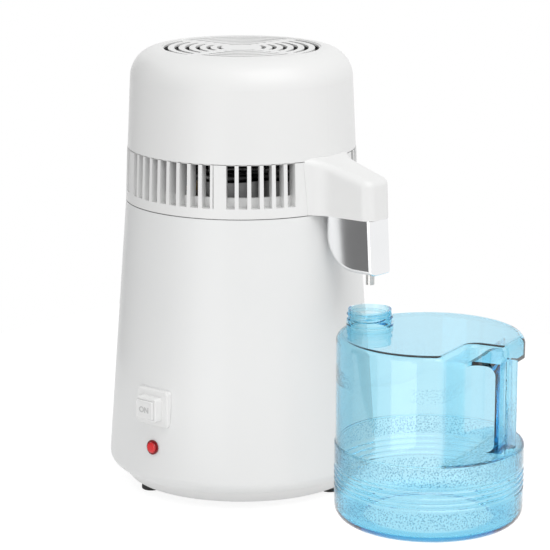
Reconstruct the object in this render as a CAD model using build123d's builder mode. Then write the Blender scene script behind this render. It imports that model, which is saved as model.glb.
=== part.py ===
from build123d import *
from math import atan2, cos, hypot, pi, radians, sin, sqrt, tan
import os

# Countertop water distiller: a boiling pot in a tapered case, a lift-off head with a condenser and a fan,
# a spout with a charcoal filter, and a collection jug.
# The frame has +X where the spout points, -Y at the front with the switch, and +Z up.
# The origin lies on the case's axis, on the counter. All lengths are in millimetres.

# Shared clearances and cuts
overrun = 2.0
slip = 0.3
snug = 0.1
running_fit = 0.05
case_seam = 0.7
dome_seam = 0.5
full_turn = 360.0
half_turn = 180.0
quarter_turn = 90.0
same_way_share = 1e-9

# Screws
large_screw_radius = 2.0
large_head_radius = 3.8
large_head_height = 2.4
small_screw_radius = 1.5
small_head_radius = 2.8
small_head_height = 1.8
driver_slot_share = 0.3
driver_depth_share = 0.5

# Base pan, feet and the bolt that ties the base together
foot_count = 3
foot_start_angle = -111.0
foot_height = 6.0
foot_radius = 8.0
foot_margin = 2.0
foot_edge = 1.0
foot_recess = 3.4
foot_boss_radius = 5.0
foot_boss_height = 8.0
pan_rise = 9.9
pan_flare = 8.9
pan_wall = 2.2
pan_collar_height = 9.0
column_radius = 10.0
column_height = 21.0
bolt_radius = 3.0
bolt_head_radius = 5.5
bolt_head_height = 4.0
bolt_recess = 5.0
bolt_grip = 8.0
nut_sides = 6
nut_radius = 5.8
nut_height = 5.0

# Case
case_wide_radius = 110.2
case_curl_inset = 6.6
case_curl_height = 9.3
case_taper = 15.6
case_wall = 1.2

# Boiling pot
pot_gap = 10.6
pot_depth = 178.0
burner_space = 42.4
pot_wall = 1.0
pot_corner = 12.0
pot_flange = 1.2
pot_ledge_gap = 1.0
pot_flange_inset = 0.6

# Heater under the pot
plate_inset = 14.0
plate_thickness = 4.0
plate_boss_radius = 7.0
plate_boss_height = 10.0
element_inset = 20.0
element_radius = 3.6
element_gap_angle = 40.0
element_bend = 9.0
element_leg = 3.0
pin_radius = 1.8
pin_length = 5.0
thermostat_place = 26.0
thermostat_radius = 9.0
thermostat_height = 6.0
thermostat_tab_width = 5.0
thermostat_tab_thickness = 0.8
thermostat_tab_length = 7.0
fuse_place = 28.0
fuse_radius = 2.8
fuse_length = 22.0
shield_lap = 8.0
shield_thickness = 0.8
shield_rim = 6.0
lead_radius = 1.2
lead_bend = 14.0
lead_run = 11.0
bend_share = 0.45

# Switch on the case front
switch_height = 81.0
bezel_width = 33.0
bezel_tall = 30.0
bezel_corner = 3.0
bezel_stand = 3.2
bezel_edge_share = 0.3
shroud_width = 22.0
shroud_tall = 19.5
shroud_corner = 2.5
shroud_length = 7.6
shroud_wall = 2.2
button_proud = 2.2
button_travel = 2.5
button_corner = 1.4
button_edge_share = 0.5
button_length = 9.0
barrel_depth = 12.0
block_depth = 11.0
block_grip = 4.0
spring_radius = 4.2
spring_wire = 0.5
spring_turns = 3

# Pilot light under the switch
pilot_height = 47.9
lens_radius = 5.9
lens_rise = 3.0
lens_flange = 1.0
lens_dome_radius = 4.6
lens_dome_share = 0.9
lens_stem_radius = 3.4
lens_stem = 3.5
holder_radius = 4.9
holder_length = 14.0

# Mains inlet at the back of the case
inlet_height = 44.0
inlet_flange_width = 50.0
inlet_flange_tall = 23.0
inlet_corner = 4.0
inlet_stand = 4.4
inlet_cavity_width = 25.0
inlet_cavity_tall = 17.0
inlet_cavity_depth = 17.0
inlet_shell = 1.8
inlet_screw_spacing = 40.0
inlet_screw_length = 9.0
contact_width = 2.0
contact_tall = 4.0
contact_spacing = 7.0
contact_offset = 2.4
contact_recess = 3.0
contact_tail = 6.0

# Seal and lid plate between the pot and the head
seal_inner_gap = 1.4
seal_height = 4.0
seal_outer_gap = 1.0
lid_thickness = 1.2
lid_edge_gap = 0.6
lid_screw_count = 3
lid_screw_start = 30.0
lid_screw_length = 6.0

# Vent ring
ring_height = 42.4
ring_taper = 1.5
ring_skirt = 2.0
slat_inner_inset = 11.6
ledge_inner_inset = 20.6
ledge_thickness = 2.0
ledge_boss_radius = 3.4
ledge_boss_height = 6.0
vent_count = 60
vent_width = 6.7
vent_sill_height = 7.5
sill_thickness = 2.4
pillar_count = 6
arm_clear_angle = 21.0
rim_drop = 0.8
rim_rise = 2.6
rim_width = 6.5
pillar_line_width = 0.8
pillar_line_depth = 1.2
pillar_line_angle = -62.4
head_screw_count = 3
head_screw_start = 60.0
head_screw_inset = 7.6
boss_grip = 9.0

# Dome cover
dome_height = 80.4
dome_step = 0.3
dome_taper = 2.6
dome_shoulder = 24.0
dome_wall = 2.4
grille_inset = 27.2
grille_margin = 1.5
grille_recess = 0.8
grille_rings = 6
grille_hub = 20.0
grille_slot = 3.6
grille_sectors = 4
grille_spoke = 9.0
boss_radius = 4.6
boss_length = 14.0
post_inset = 16.2
post_radius = 4.4
post_count = 3
post_start = 30.0

# Fan and motor under the grille
motor_radius = 26.0
motor_length = 29.0
motor_edge = 3.0
motor_bore_depth = 12.0
bracket_top_drop = 30.0
bracket_thickness = 2.4
bracket_arm = 11.0
bracket_collar_radius = 6.0
motor_screw_circle = 18.0
post_between_share = 0.5
motor_screw_length = 7.0
post_screw_length = 10.0
shaft_radius = 2.5
fan_grille_gap = 5.0
hub_radius = 16.0
hub_height = 13.0
hub_wall = 2.0
blade_count = 7
blade_inset = 32.2
blade_chord = 20.0
blade_thickness = 1.6
blade_twist = 32.0

# Condenser
tube_radius = 4.0
tube_bore = 3.2
coil_inset = 23.0
coil_pitch = 23.0
coil_turns = 2
coil_clear = 19.0
fin_radius = 10.5
fin_thickness = 0.5
fin_step_angle = 6.0
riser_inset = 18.4
riser_angle = -144.8
riser_top_drop = 16.0
lead_in_inset = 7.2
lead_in_angle = -114.6
outlet_fall = 4.0
outlet_drop_inset = 4.0
outlet_bend = 10.0
outlet_tail = 9.0
steam_nut_radius = 9.0
steam_nut_height = 6.0

# Mains inlet for the fan, at the back of the dome
fan_inlet_rise = 42.0
fan_inlet_width = 27.0
fan_inlet_tall = 14.0
fan_inlet_stand = 2.6
fan_cavity_width = 17.0
fan_cavity_tall = 8.0
fan_cavity_depth = 13.0
fan_pin_radius = 1.2
fan_pin_spacing = 4.3
fan_pin_recess = 2.0
fan_pin_tail = 4.0

# Spout arm
arm_reach = 50.4
arm_tip_half = 14.4
arm_tip_run = 37.0
arm_waist_half = 17.2
arm_root_half = 28.0
arm_root_run = 10.0
arm_lean = 2.4
arm_root_rise = 1.6
arm_tip_drop = 12.6
arm_tip_corner = 9.0
arm_edge = 6.5
arm_wall = 2.2
arm_boss_side = 12.5
arm_boss_radius = 3.6
arm_boss_length = 10.0
arm_screw_rise = 26.0
arm_screw_grip = 7.0
arm_head_depth = 3.0

# Spout, filter and outlet
spout_length = 46.5
spout_front_inset = 0.8
spout_flare = 2.6
spout_half = 12.3
spout_height = 43.5
spout_round = 28.0
spout_front_edge = 4.0
spout_edge = 0.8
spout_wall = 1.5
collar_rise = 9.5
collar_back_inset = 3.0
cup_radius = 7.4
cup_wall = 1.0
cup_height = 38.0
cup_front_gap = 0.6
pod_gap = 0.4
pod_height = 26.0
pod_edge = 1.5
outlet_radius = 3.4
outlet_bore = 2.6
outlet_reach = 9.6

# Collection jug
jug_turn = 13.4
jug_radius = 75.0
jug_case_gap = 1.0
jug_step = 1.0
jug_ledge_round = 2.6
jug_outlet_gap = 19.6
jug_wall = 2.2
jug_base_round = 12.0
jug_base_dish = 2.0
jug_base_ring = 12.0
jug_top_round = 5.5
jug_ridge_bottom = 27.0
jug_ridge_pitch = 4.8
jug_ridge_depth = 0.9
jug_ridge_count = 4
ridge_shares = [0.15, 0.35, 0.65, 0.85]
neck_radius = 17.2
neck_bore = 15.0
neck_height = 14.0
thread_radius = 1.2
thread_pitch = 4.6
thread_turns = 1.5
thread_start = 5.0
bead_rise = 1.2
bead_height = 1.8
bead_width = 1.6
grip_floor = 64.0
crown_height = 17.0
grip_wall_place = 41.0
grip_wall_edge = 38.0
grip_corner = 9.0
grip_gap = 20.0
grip_round = 8.0
handle_depth = 9.0
handle_half = 14.0
handle_corner = 6.0
handle_bore_share = 0.4
crown_corner = 10.0

# Heights of the stack, from the counter up
pan_floor = foot_height
case_bottom = pan_floor + pan_rise
case_wide = case_bottom + case_curl_height
case_height = pot_depth + burner_space
case_top = case_bottom + case_height
flange_top = case_top + pot_flange
seal_bottom = flange_top + snug
seal_top = seal_bottom + seal_height
lid_bottom = seal_top + snug
lid_top = lid_bottom + lid_thickness
ring_bottom = case_top + case_seam
ring_top = ring_bottom + ring_height
ledge_top = lid_top + ledge_thickness
sill_top = ledge_top + vent_sill_height
dome_bottom = ring_top + dome_seam
dome_top = dome_bottom + dome_height
pot_bottom = case_top - pot_depth
plate_bottom = pot_bottom - plate_thickness
element_height = plate_bottom - element_radius - snug
column_top = pan_floor + column_height
shield_top = column_top + shield_thickness

# Radii of the pieces that nest in each other
case_bottom_radius = case_wide_radius - case_curl_inset
case_top_radius = case_wide_radius - case_taper
pan_floor_radius = case_bottom_radius - pan_flare
pan_lip_radius = case_bottom_radius - snug
collar_radius = case_bottom_radius - case_wall - slip
foot_circle = pan_floor_radius - foot_margin - foot_radius
foot_angles = [foot_start_angle + full_turn * k / foot_count for k in range(foot_count)]
pot_radius = case_top_radius - pot_gap
plate_radius = pot_radius - plate_inset
element_circle = plate_radius - element_inset
shield_radius = plate_radius + shield_lap
skirt_radius = case_top_radius - ring_skirt
ring_top_radius = case_top_radius - ring_taper
slat_inner = case_top_radius - slat_inner_inset
ledge_inner = case_top_radius - ledge_inner_inset
dome_bottom_radius = ring_top_radius - dome_step
dome_top_radius = dome_bottom_radius - dome_taper
dome_shoulder_height = dome_top - dome_shoulder
grille_radius = dome_top_radius - grille_inset
grille_pitch = (grille_radius - grille_hub) / (grille_rings - 1)
post_circle = dome_top_radius - post_inset
blade_tip_radius = dome_top_radius - blade_inset
bracket_bottom = dome_top - bracket_top_drop - bracket_thickness
bracket_top = bracket_bottom + bracket_thickness
screw_circle = case_top_radius - head_screw_inset
lid_screw_circle = (ledge_inner + slat_inner) / 2

# Places along the spout
arm_bottom = ring_bottom
arm_tip = case_top_radius + arm_reach
arm_waist = arm_tip - arm_tip_run
spout_back = arm_tip - spout_length
spout_top = arm_bottom - slip
spout_bottom = spout_top - spout_height
spout_front = arm_tip - spout_front_inset
outlet_x = spout_front - spout_wall - cup_front_gap - cup_radius
outlet_bottom = spout_bottom - outlet_reach
jug_shoulder = outlet_bottom - jug_outlet_gap - neck_height
grip_ceiling = jug_shoulder - crown_height
drop_x = outlet_x - outlet_drop_inset

# Places of the condenser
coil_radius = slat_inner - coil_inset
coil_low = ledge_top + coil_clear
coil_high = coil_low + coil_pitch * coil_turns
outlet_height = coil_low - outlet_fall

# Alignments that primitives use
standing = (Align.CENTER, Align.CENTER, Align.MIN)
hanging = (Align.CENTER, Align.CENTER, Align.MAX)


def case_radius(height):
    """Outer radius of the case at a height above its curled lower edge."""
    share = (height - case_wide) / (case_top - case_wide)
    return case_wide_radius + (case_top_radius - case_wide_radius) * share


def dome_radius(height):
    """Outer radius of the dome's straight side at a height."""
    share = (height - dome_bottom) / (dome_shoulder_height - dome_bottom)
    return dome_bottom_radius + (dome_top_radius - dome_bottom_radius) * share


def polar(radius, angle, height=0):
    """A point on a circle round the Z axis, with the angle in degrees from +X."""
    return (radius * cos(radians(angle)), radius * sin(radians(angle)), height)


def revolve_outline(*points, radii=None, mode=Mode.ADD):
    """Turn a closed outline of (radius, height) points once round the Z axis."""
    corner_radii = radii if radii else [0] * len(points)
    with BuildSketch(Plane.XZ) as outline:
        with BuildLine():
            FilletPolyline(*points, radius=corner_radii, close=True)
        make_face()
    revolve(outline.sketch, axis=Axis.Z, mode=mode)


def add_screws(places, shank_radius, shank_length, head_radius, head_height):
    """A slotted screw at each place: its head lies below the place and its shank runs up from it."""
    slot_width = head_radius * driver_slot_share
    slot_depth = head_height * driver_depth_share
    with Locations(*places):
        Cylinder(shank_radius, shank_length, align=standing)
        Cylinder(head_radius, head_height, align=hanging)
    with Locations(*[place * Pos(0, 0, -head_height) for place in places]):
        Box(head_radius * 2 + overrun, slot_width, slot_depth * 2, mode=Mode.SUBTRACT)


def unit(vector):
    """The vector at a length of one."""
    return Vector(*vector).normalized()


def route_through(stops):
    """Lines and pairs of tangent arcs through stops, each a point and the direction of travel there."""
    for (start, heading), (end, arrival) in zip(stops, stops[1:]):
        start, end = Vector(*start), Vector(*end)
        heading, arrival = unit(heading), unit(arrival)
        chord = end - start
        turn = 1 - heading.dot(arrival)
        straight = heading.dot(chord.normalized())
        if turn < same_way_share and straight > 1 - same_way_share:
            Line(start, end)
            continue
        lean = chord.dot(heading + arrival)
        if turn < same_way_share:
            reach = chord.dot(chord) / (4 * chord.dot(arrival))
        else:
            reach = (sqrt(lean * lean + 2 * turn * chord.dot(chord)) - lean) / (2 * turn)
        near = start + heading * reach
        far = end - arrival * reach
        middle = (near + far) / 2
        TangentArc(start, middle, tangent=heading)
        TangentArc(middle, end, tangent=far - near)


def helix_stops(centre, radius, start_height, pitch, start_angle, turns, steps_a_turn=4):
    """Stops on an upright helix that turns anticlockwise, with a positive pitch climbing."""
    stops = []
    slope = pitch / (2 * pi * radius)
    for k in range(int(round(turns * steps_a_turn)) + 1):
        share = k / steps_a_turn
        angle = radians(start_angle + full_turn * share)
        point = (
            centre[0] + radius * cos(angle),
            centre[1] + radius * sin(angle),
            start_height + pitch * share,
        )
        stops.append((point, (-sin(angle), cos(angle), slope)))
    return stops


def least_gap(wire, radius, samples=500):
    """The least gap between stretches of one tube that lie more than a turn's quarter apart along it."""
    length = wire.length
    points = [wire.position_at(k / samples) for k in range(samples + 1)]
    apart = int(samples * 8 * radius / length) + 1
    nearest = length
    for k, first in enumerate(points):
        for second in points[k + apart:]:
            nearest = min(nearest, (first - second).length)
    return nearest - 2 * radius


def finish(part, name):
    """Label a finished piece and write its file."""
    part.label = name
    export_step(part, f"parts/{name}.step")


os.makedirs("parts", exist_ok=True)
riser_x, riser_y, riser_foot = polar(coil_radius - riser_inset, riser_angle, lid_bottom)
lead_in_x, lead_in_y, lead_in_height = polar(coil_radius - lead_in_inset, lead_in_angle, coil_high)

# Rubber feet under the pan
foot_places = [polar(foot_circle, angle) for angle in foot_angles]
with BuildPart() as rubber_feet:
    with Locations(*foot_places):
        Cylinder(foot_radius, foot_height, align=standing)
    fillet(rubber_feet.edges().group_by(Axis.Z)[0], foot_edge)
    with Locations(*foot_places):
        Cylinder(large_head_radius + slip, foot_recess, align=standing, mode=Mode.SUBTRACT)
        Cylinder(large_screw_radius + snug, foot_height, align=standing, mode=Mode.SUBTRACT)
finish(rubber_feet.part, "rubber_feet")

foot_screw_length = foot_height - foot_recess + foot_boss_height
foot_screw_places = [Location(polar(foot_circle, angle, foot_recess)) for angle in foot_angles]
with BuildPart() as foot_screws:
    add_screws(foot_screw_places, large_screw_radius, foot_screw_length, large_head_radius, large_head_height)
finish(foot_screws.part, "foot_screws")

# Base pan: the inset ring under the case, its floor and the column for the tie bolt
with BuildPart() as base_pan:
    revolve_outline(
        (0, pan_floor),
        (pan_floor_radius, pan_floor),
        (pan_lip_radius, case_bottom - snug),
        (collar_radius, case_bottom - snug),
        (collar_radius, case_bottom + pan_collar_height),
        (collar_radius - pan_wall, case_bottom + pan_collar_height),
        (collar_radius - pan_wall, case_bottom),
        (pan_floor_radius - pan_wall, pan_floor + pan_wall),
        (0, pan_floor + pan_wall),
    )
    with Locations(*[polar(foot_circle, angle, pan_floor) for angle in foot_angles]):
        Cylinder(foot_boss_radius, foot_boss_height, align=standing)
    with Locations((0, 0, pan_floor)):
        Cylinder(column_radius, column_height, align=standing)
    with Locations(*[polar(foot_circle, angle, pan_floor) for angle in foot_angles]):
        Cylinder(large_screw_radius + snug, foot_boss_height, align=standing, mode=Mode.SUBTRACT)
    with Locations((0, 0, pan_floor)):
        Cylinder(bolt_radius + snug, column_height, align=standing, mode=Mode.SUBTRACT)
        Cylinder(bolt_head_radius + slip, bolt_recess, align=standing, mode=Mode.SUBTRACT)
finish(base_pan.part, "base_pan")

# Tie bolt, nut and heat shield
bolt_seat = pan_floor + bolt_recess
bolt_length = plate_bottom - plate_boss_height + bolt_grip - bolt_seat
with BuildPart() as tie_bolt:
    add_screws([Location((0, 0, bolt_seat))], bolt_radius, bolt_length, bolt_head_radius, bolt_head_height)
finish(tie_bolt.part, "tie_bolt")

with BuildPart() as tie_nut:
    with BuildSketch(Plane.XY.offset(shield_top)):
        RegularPolygon(nut_radius, nut_sides)
        Circle(bolt_radius + snug, mode=Mode.SUBTRACT)
    extrude(amount=nut_height)
finish(tie_nut.part, "tie_nut")

with BuildPart() as heat_shield:
    revolve_outline(
        (bolt_radius + snug, column_top),
        (shield_radius, column_top),
        (shield_radius, column_top + shield_rim),
        (shield_radius - shield_thickness, column_top + shield_rim),
        (shield_radius - shield_thickness, shield_top),
        (bolt_radius + snug, shield_top),
    )
finish(heat_shield.part, "heat_shield")

# Heater plate with the boss that the tie bolt screws into
with BuildPart() as heater_plate:
    with Locations((0, 0, plate_bottom)):
        Cylinder(plate_radius, plate_thickness, align=standing)
        Cylinder(plate_boss_radius, plate_boss_height, align=hanging)
    with Locations((0, 0, plate_bottom - plate_boss_height)):
        Cylinder(bolt_radius + snug, bolt_grip + snug, align=standing, mode=Mode.SUBTRACT)
finish(heater_plate.part, "heater_plate")

# Ring heating element, open towards +X, with both ends bent down
element_start = element_gap_angle / 2
element_sweep = full_turn - element_gap_angle
element_steps = 5
element_stops = helix_stops(
    (0, 0), element_circle, element_height, 0, element_start, element_sweep / full_turn,
    steps_a_turn=element_steps * full_turn / element_sweep,
)
first_point, first_heading = element_stops[0]
last_point, last_heading = element_stops[-1]
leg_foot = element_height - element_bend - element_leg
first_leg = Vector(*first_point) - unit(first_heading) * element_bend
last_leg = Vector(*last_point) + unit(last_heading) * element_bend
leg_places = [(first_leg.X, first_leg.Y, leg_foot), (last_leg.X, last_leg.Y, leg_foot)]
up, down = (0, 0, 1), (0, 0, -1)
with BuildPart() as heating_element:
    with BuildLine() as element_route:
        route_through(
            [(leg_places[0], up), ((first_leg.X, first_leg.Y, element_height - element_bend), up)]
            + element_stops
            + [((last_leg.X, last_leg.Y, element_height - element_bend), down), (leg_places[1], down)]
        )
    with BuildSketch(Plane(origin=leg_places[0], z_dir=up)):
        Circle(element_radius)
    sweep(path=element_route.wire())
finish(heating_element.part, "heating_element")

with BuildPart() as element_pins:
    with Locations(*leg_places):
        Cylinder(pin_radius, pin_length, align=hanging)
finish(element_pins.part, "element_pins")

# Thermostat and thermal fuse against the underside of the heater plate
with BuildPart() as thermostat:
    with Locations((0, -thermostat_place, plate_bottom)):
        Cylinder(thermostat_radius, thermostat_height, align=hanging)
    with Locations(
        (-thermostat_radius / 2, -thermostat_place, plate_bottom - thermostat_height),
        (thermostat_radius / 2, -thermostat_place, plate_bottom - thermostat_height),
    ):
        Box(thermostat_tab_thickness, thermostat_tab_width, thermostat_tab_length, align=hanging)
finish(thermostat.part, "thermostat")

with BuildPart() as thermal_fuse:
    with BuildSketch(Plane.YZ.offset(-fuse_length / 2)):
        with Locations((fuse_place, plate_bottom - fuse_radius - snug)):
            Circle(fuse_radius)
    extrude(amount=fuse_length)
finish(thermal_fuse.part, "thermal_fuse")

# Boiling pot, hung by its flange on the case's ledge
pot_rim = case_top_radius - ring_skirt - pot_flange_inset
with BuildPart() as boiling_pot:
    revolve_outline(
        (0, pot_bottom),
        (pot_radius, pot_bottom),
        (pot_radius, case_top),
        (pot_rim, case_top),
        (pot_rim, flange_top),
        (pot_radius - pot_wall, flange_top),
        (pot_radius - pot_wall, pot_bottom + pot_wall),
        (0, pot_bottom + pot_wall),
        radii=[0, pot_corner, 0, 0, 0, 0, pot_corner - pot_wall, 0],
    )
finish(boiling_pot.part, "boiling_pot")

# Outer case: tapered wall, curled lower edge, and a ledge at the top for the pot
barrel_width = shroud_width - slip
barrel_tall = shroud_tall - slip
inlet_body_width = inlet_cavity_width + inlet_shell * 2
inlet_body_tall = inlet_cavity_tall + inlet_shell * 2
inlet_screw_places = [-inlet_screw_spacing / 2, inlet_screw_spacing / 2]
wall_heading = (case_wide_radius - case_top_radius, case_wide - case_top)
back_plane = Plane(origin=(0, 0, 0), x_dir=(-1, 0, 0), z_dir=(0, 1, 0))
with BuildPart() as outer_case:
    with BuildSketch(Plane.XZ):
        with BuildLine():
            Polyline(
                (case_wide_radius, case_wide),
                (case_top_radius, case_top),
                (pot_radius + pot_ledge_gap, case_top),
                (pot_radius + pot_ledge_gap, case_top - case_wall),
                (case_top_radius - case_wall, case_top - case_wall),
                (case_wide_radius - case_wall, case_wide),
            )
            TangentArc(
                (case_wide_radius - case_wall, case_wide),
                (case_bottom_radius - case_wall, case_bottom),
                tangent=wall_heading,
            )
            Line((case_bottom_radius - case_wall, case_bottom), (case_bottom_radius, case_bottom))
            TangentArc(
                (case_wide_radius, case_wide), (case_bottom_radius, case_bottom), tangent=wall_heading
            )
        make_face()
    revolve(axis=Axis.Z)
    with BuildSketch(Plane.XZ):
        with Locations((0, switch_height)):
            Rectangle(barrel_width + snug * 2, barrel_tall + snug * 2)
        with Locations((0, pilot_height)):
            Circle(holder_radius + snug)
    extrude(amount=case_wide_radius + overrun, mode=Mode.SUBTRACT)
    with BuildSketch(back_plane):
        with Locations((0, inlet_height)):
            Rectangle(inlet_body_width + snug * 2, inlet_body_tall + snug * 2)
        with Locations(*[(place, inlet_height) for place in inlet_screw_places]):
            Circle(small_screw_radius + snug)
    extrude(amount=case_wide_radius + overrun, mode=Mode.SUBTRACT)
finish(outer_case.part, "outer_case")


def cut_case_form(grow):
    """Take the case's outer form, grown by a gap, out of the piece that seats on it."""
    revolve_outline(
        (0, case_wide),
        (case_wide_radius + grow, case_wide),
        (case_top_radius + grow, case_top),
        (0, case_top),
        mode=Mode.SUBTRACT,
    )


# Switch bezel: a plate on the curved case, a shroud round the button and a barrel through the wall
plate_front = case_radius(switch_height) + bezel_stand
shroud_front = plate_front + shroud_length
barrel_back = case_radius(switch_height) - barrel_depth
button_width = shroud_width - shroud_wall * 2
button_tall = shroud_tall - shroud_wall * 2
with BuildPart() as switch_bezel:
    with BuildSketch(Plane.XZ.offset(barrel_back)):
        with Locations((0, switch_height)):
            RectangleRounded(bezel_width, bezel_tall, bezel_corner)
    extrude(amount=plate_front - barrel_back)
    chamfer(switch_bezel.faces().sort_by(Axis.Y)[0].edges(), bezel_stand * bezel_edge_share)
    cut_case_form(snug)
    with BuildSketch(Plane.XZ.offset(barrel_back)):
        with Locations((0, switch_height)):
            Rectangle(barrel_width, barrel_tall)
    extrude(amount=plate_front - barrel_back)
    with BuildSketch(Plane.XZ.offset(plate_front)):
        with Locations((0, switch_height)):
            RectangleRounded(shroud_width, shroud_tall, shroud_corner)
    extrude(amount=shroud_length)
    fillet(switch_bezel.faces().sort_by(Axis.Y)[0].edges(), shroud_wall * bezel_edge_share)
    with BuildSketch(Plane.XZ.offset(barrel_back - overrun)):
        with Locations((0, switch_height)):
            RectangleRounded(button_width + slip * 2, button_tall + slip * 2, button_corner + slip)
    extrude(amount=shroud_front - barrel_back + overrun * 2, mode=Mode.SUBTRACT)
finish(switch_bezel.part, "switch_bezel")

# Push button, its switch block and the spring between them
button_front = shroud_front + button_proud
button_back = button_front - button_length
block_front = barrel_back + block_grip
with BuildPart() as on_button:
    with BuildSketch(Plane.XZ.offset(button_back)):
        with Locations((0, switch_height)):
            RectangleRounded(button_width, button_tall, button_corner)
    extrude(amount=button_length)
    fillet(on_button.faces().sort_by(Axis.Y)[0].edges(), button_corner * button_edge_share)
finish(on_button.part, "on_button")

with BuildPart() as switch_block:
    with BuildSketch(Plane.XZ.offset(block_front - block_depth)):
        with Locations((0, switch_height)):
            RectangleRounded(button_width, button_tall, button_corner)
    extrude(amount=block_depth)
    with BuildSketch(Plane.XZ.offset(block_front)):
        with Locations((0, switch_height)):
            Circle(spring_radius - spring_wire - slip)
    extrude(amount=button_travel)
finish(switch_block.part, "switch_block")

spring_space = button_back - block_front
spring_pitch = (spring_space - spring_wire * 2 - snug * 2) / spring_turns
spring_stops = helix_stops((0, 0), spring_radius, 0, spring_pitch, 0, spring_turns)
spring_base = block_front + spring_wire + snug
spring_stops = [
    ((p[0], -(spring_base + p[2]), switch_height + p[1]), (t[0], -t[2], t[1])) for p, t in spring_stops
]
with BuildPart() as button_spring:
    with BuildLine() as spring_route:
        route_through(spring_stops)
    with BuildSketch(Plane(origin=spring_stops[0][0], z_dir=spring_stops[0][1])):
        Circle(spring_wire)
    sweep(path=spring_route.wire())
finish(button_spring.part, "button_spring")
print("button_spring least gap to itself", round(least_gap(spring_route.wire(), spring_wire), 3))

# Pilot lens on the case front, square to the tapered wall, and its lamp holder
wall_length = hypot(case_top - case_wide, case_wide_radius - case_top_radius)
wall_out = (0, -(case_top - case_wide) / wall_length, (case_wide_radius - case_top_radius) / wall_length)
pilot_plane = Plane(
    origin=(0, -case_radius(pilot_height), pilot_height), x_dir=(1, 0, 0), z_dir=wall_out
)
lens_seat = pilot_plane.offset(slip)
with BuildPart() as pilot_lens:
    with BuildSketch(lens_seat):
        Circle(lens_radius)
    extrude(amount=lens_flange)
    with BuildSketch(lens_seat.offset(lens_flange)):
        Circle(lens_dome_radius)
    extrude(amount=lens_rise - lens_flange)
    fillet(pilot_lens.faces().sort_by(Axis.Y)[0].edges(), (lens_rise - lens_flange) * lens_dome_share)
    with BuildSketch(lens_seat):
        Circle(lens_stem_radius)
    extrude(amount=-lens_stem)
finish(pilot_lens.part, "pilot_lens")

with BuildPart() as pilot_holder:
    with BuildSketch(lens_seat.offset(-snug)):
        Circle(holder_radius)
    extrude(amount=-holder_length)
    with BuildSketch(lens_seat):
        Circle(lens_stem_radius + snug)
    extrude(amount=-lens_stem - snug, mode=Mode.SUBTRACT)
finish(pilot_holder.part, "pilot_holder")

# Mains inlet at the back: flange with two ears, socket cavity, three blades and two screws
inlet_front = case_radius(inlet_height) + inlet_stand
cavity_back = inlet_front - inlet_cavity_depth
inlet_back = cavity_back - inlet_shell
with BuildPart() as inlet_socket:
    with BuildSketch(back_plane.offset(inlet_back)):
        with Locations((0, inlet_height)):
            RectangleRounded(inlet_flange_width, inlet_flange_tall, inlet_corner)
    extrude(amount=inlet_front - inlet_back)
    cut_case_form(snug)
    with BuildSketch(back_plane.offset(inlet_back)):
        with Locations((0, inlet_height)):
            Rectangle(inlet_body_width, inlet_body_tall)
    extrude(amount=inlet_front - inlet_back)
    with BuildSketch(back_plane.offset(cavity_back)):
        with Locations((0, inlet_height)):
            RectangleRounded(inlet_cavity_width, inlet_cavity_tall, inlet_shell)
    extrude(amount=inlet_cavity_depth + overrun, mode=Mode.SUBTRACT)
    with BuildSketch(back_plane):
        with Locations(
            (-contact_spacing, inlet_height - contact_offset),
            (contact_spacing, inlet_height - contact_offset),
            (0, inlet_height + contact_offset),
        ):
            Rectangle(contact_width + snug * 2, contact_tall + snug * 2)
        with Locations(*[(place, inlet_height) for place in inlet_screw_places]):
            Circle(small_screw_radius + snug)
    extrude(amount=case_wide_radius * 2, mode=Mode.SUBTRACT)
finish(inlet_socket.part, "inlet_socket")

with BuildPart() as inlet_pins:
    with BuildSketch(back_plane.offset(inlet_back - contact_tail)):
        with Locations(
            (-contact_spacing, inlet_height - contact_offset),
            (contact_spacing, inlet_height - contact_offset),
            (0, inlet_height + contact_offset),
        ):
            Rectangle(contact_width, contact_tall)
    extrude(amount=inlet_front - contact_recess - inlet_back + contact_tail)
finish(inlet_pins.part, "inlet_pins")

with BuildPart() as inlet_screws:
    add_screws(
        [
            Plane(origin=(place, inlet_front, inlet_height), z_dir=(0, -1, 0)).location
            for place in inlet_screw_places
        ],
        small_screw_radius, inlet_screw_length, small_head_radius, small_head_height,
    )
finish(inlet_screws.part, "inlet_screws")

# Leads inside the base: inlet to switch, switch to thermostat, thermostat and inlet to the element
contact_end = inlet_back - contact_tail - snug
block_tail = block_front - block_depth - lead_radius - snug
tab_foot = plate_bottom - thermostat_height - thermostat_tab_length - lead_radius - snug
pin_level = leg_foot - pin_length / 2
pin_reach = pin_radius + snug
side_run = shield_radius + lead_radius * 3
tab_side = thermostat_radius / 2
inlet_level = inlet_height - contact_offset
lead_routes = [
    [
        (-contact_spacing, contact_end, inlet_level),
        (-contact_spacing, contact_end - lead_run, inlet_level),
        (-side_run, 0, tab_foot),
        (-contact_spacing, -block_tail, tab_foot),
        (-contact_spacing, -block_tail, switch_height),
    ],
    [
        (tab_side, -block_tail, switch_height),
        (tab_side, -block_tail, tab_foot),
        (tab_side, -thermostat_place, tab_foot),
    ],
    [
        (-tab_side, -thermostat_place, tab_foot),
        (-tab_side, -thermostat_place + lead_run, tab_foot),
        (leg_places[1][0] - pin_reach - lead_run, leg_places[1][1], pin_level),
        (leg_places[1][0] - pin_reach, leg_places[1][1], pin_level),
    ],
    [
        (contact_spacing, contact_end, inlet_level),
        (contact_spacing, contact_end - lead_run, inlet_level),
        (leg_places[0][0], leg_places[0][1] + pin_reach + lead_run * 2, pin_level),
        (leg_places[0][0], leg_places[0][1] + pin_reach, pin_level),
    ],
]


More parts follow.
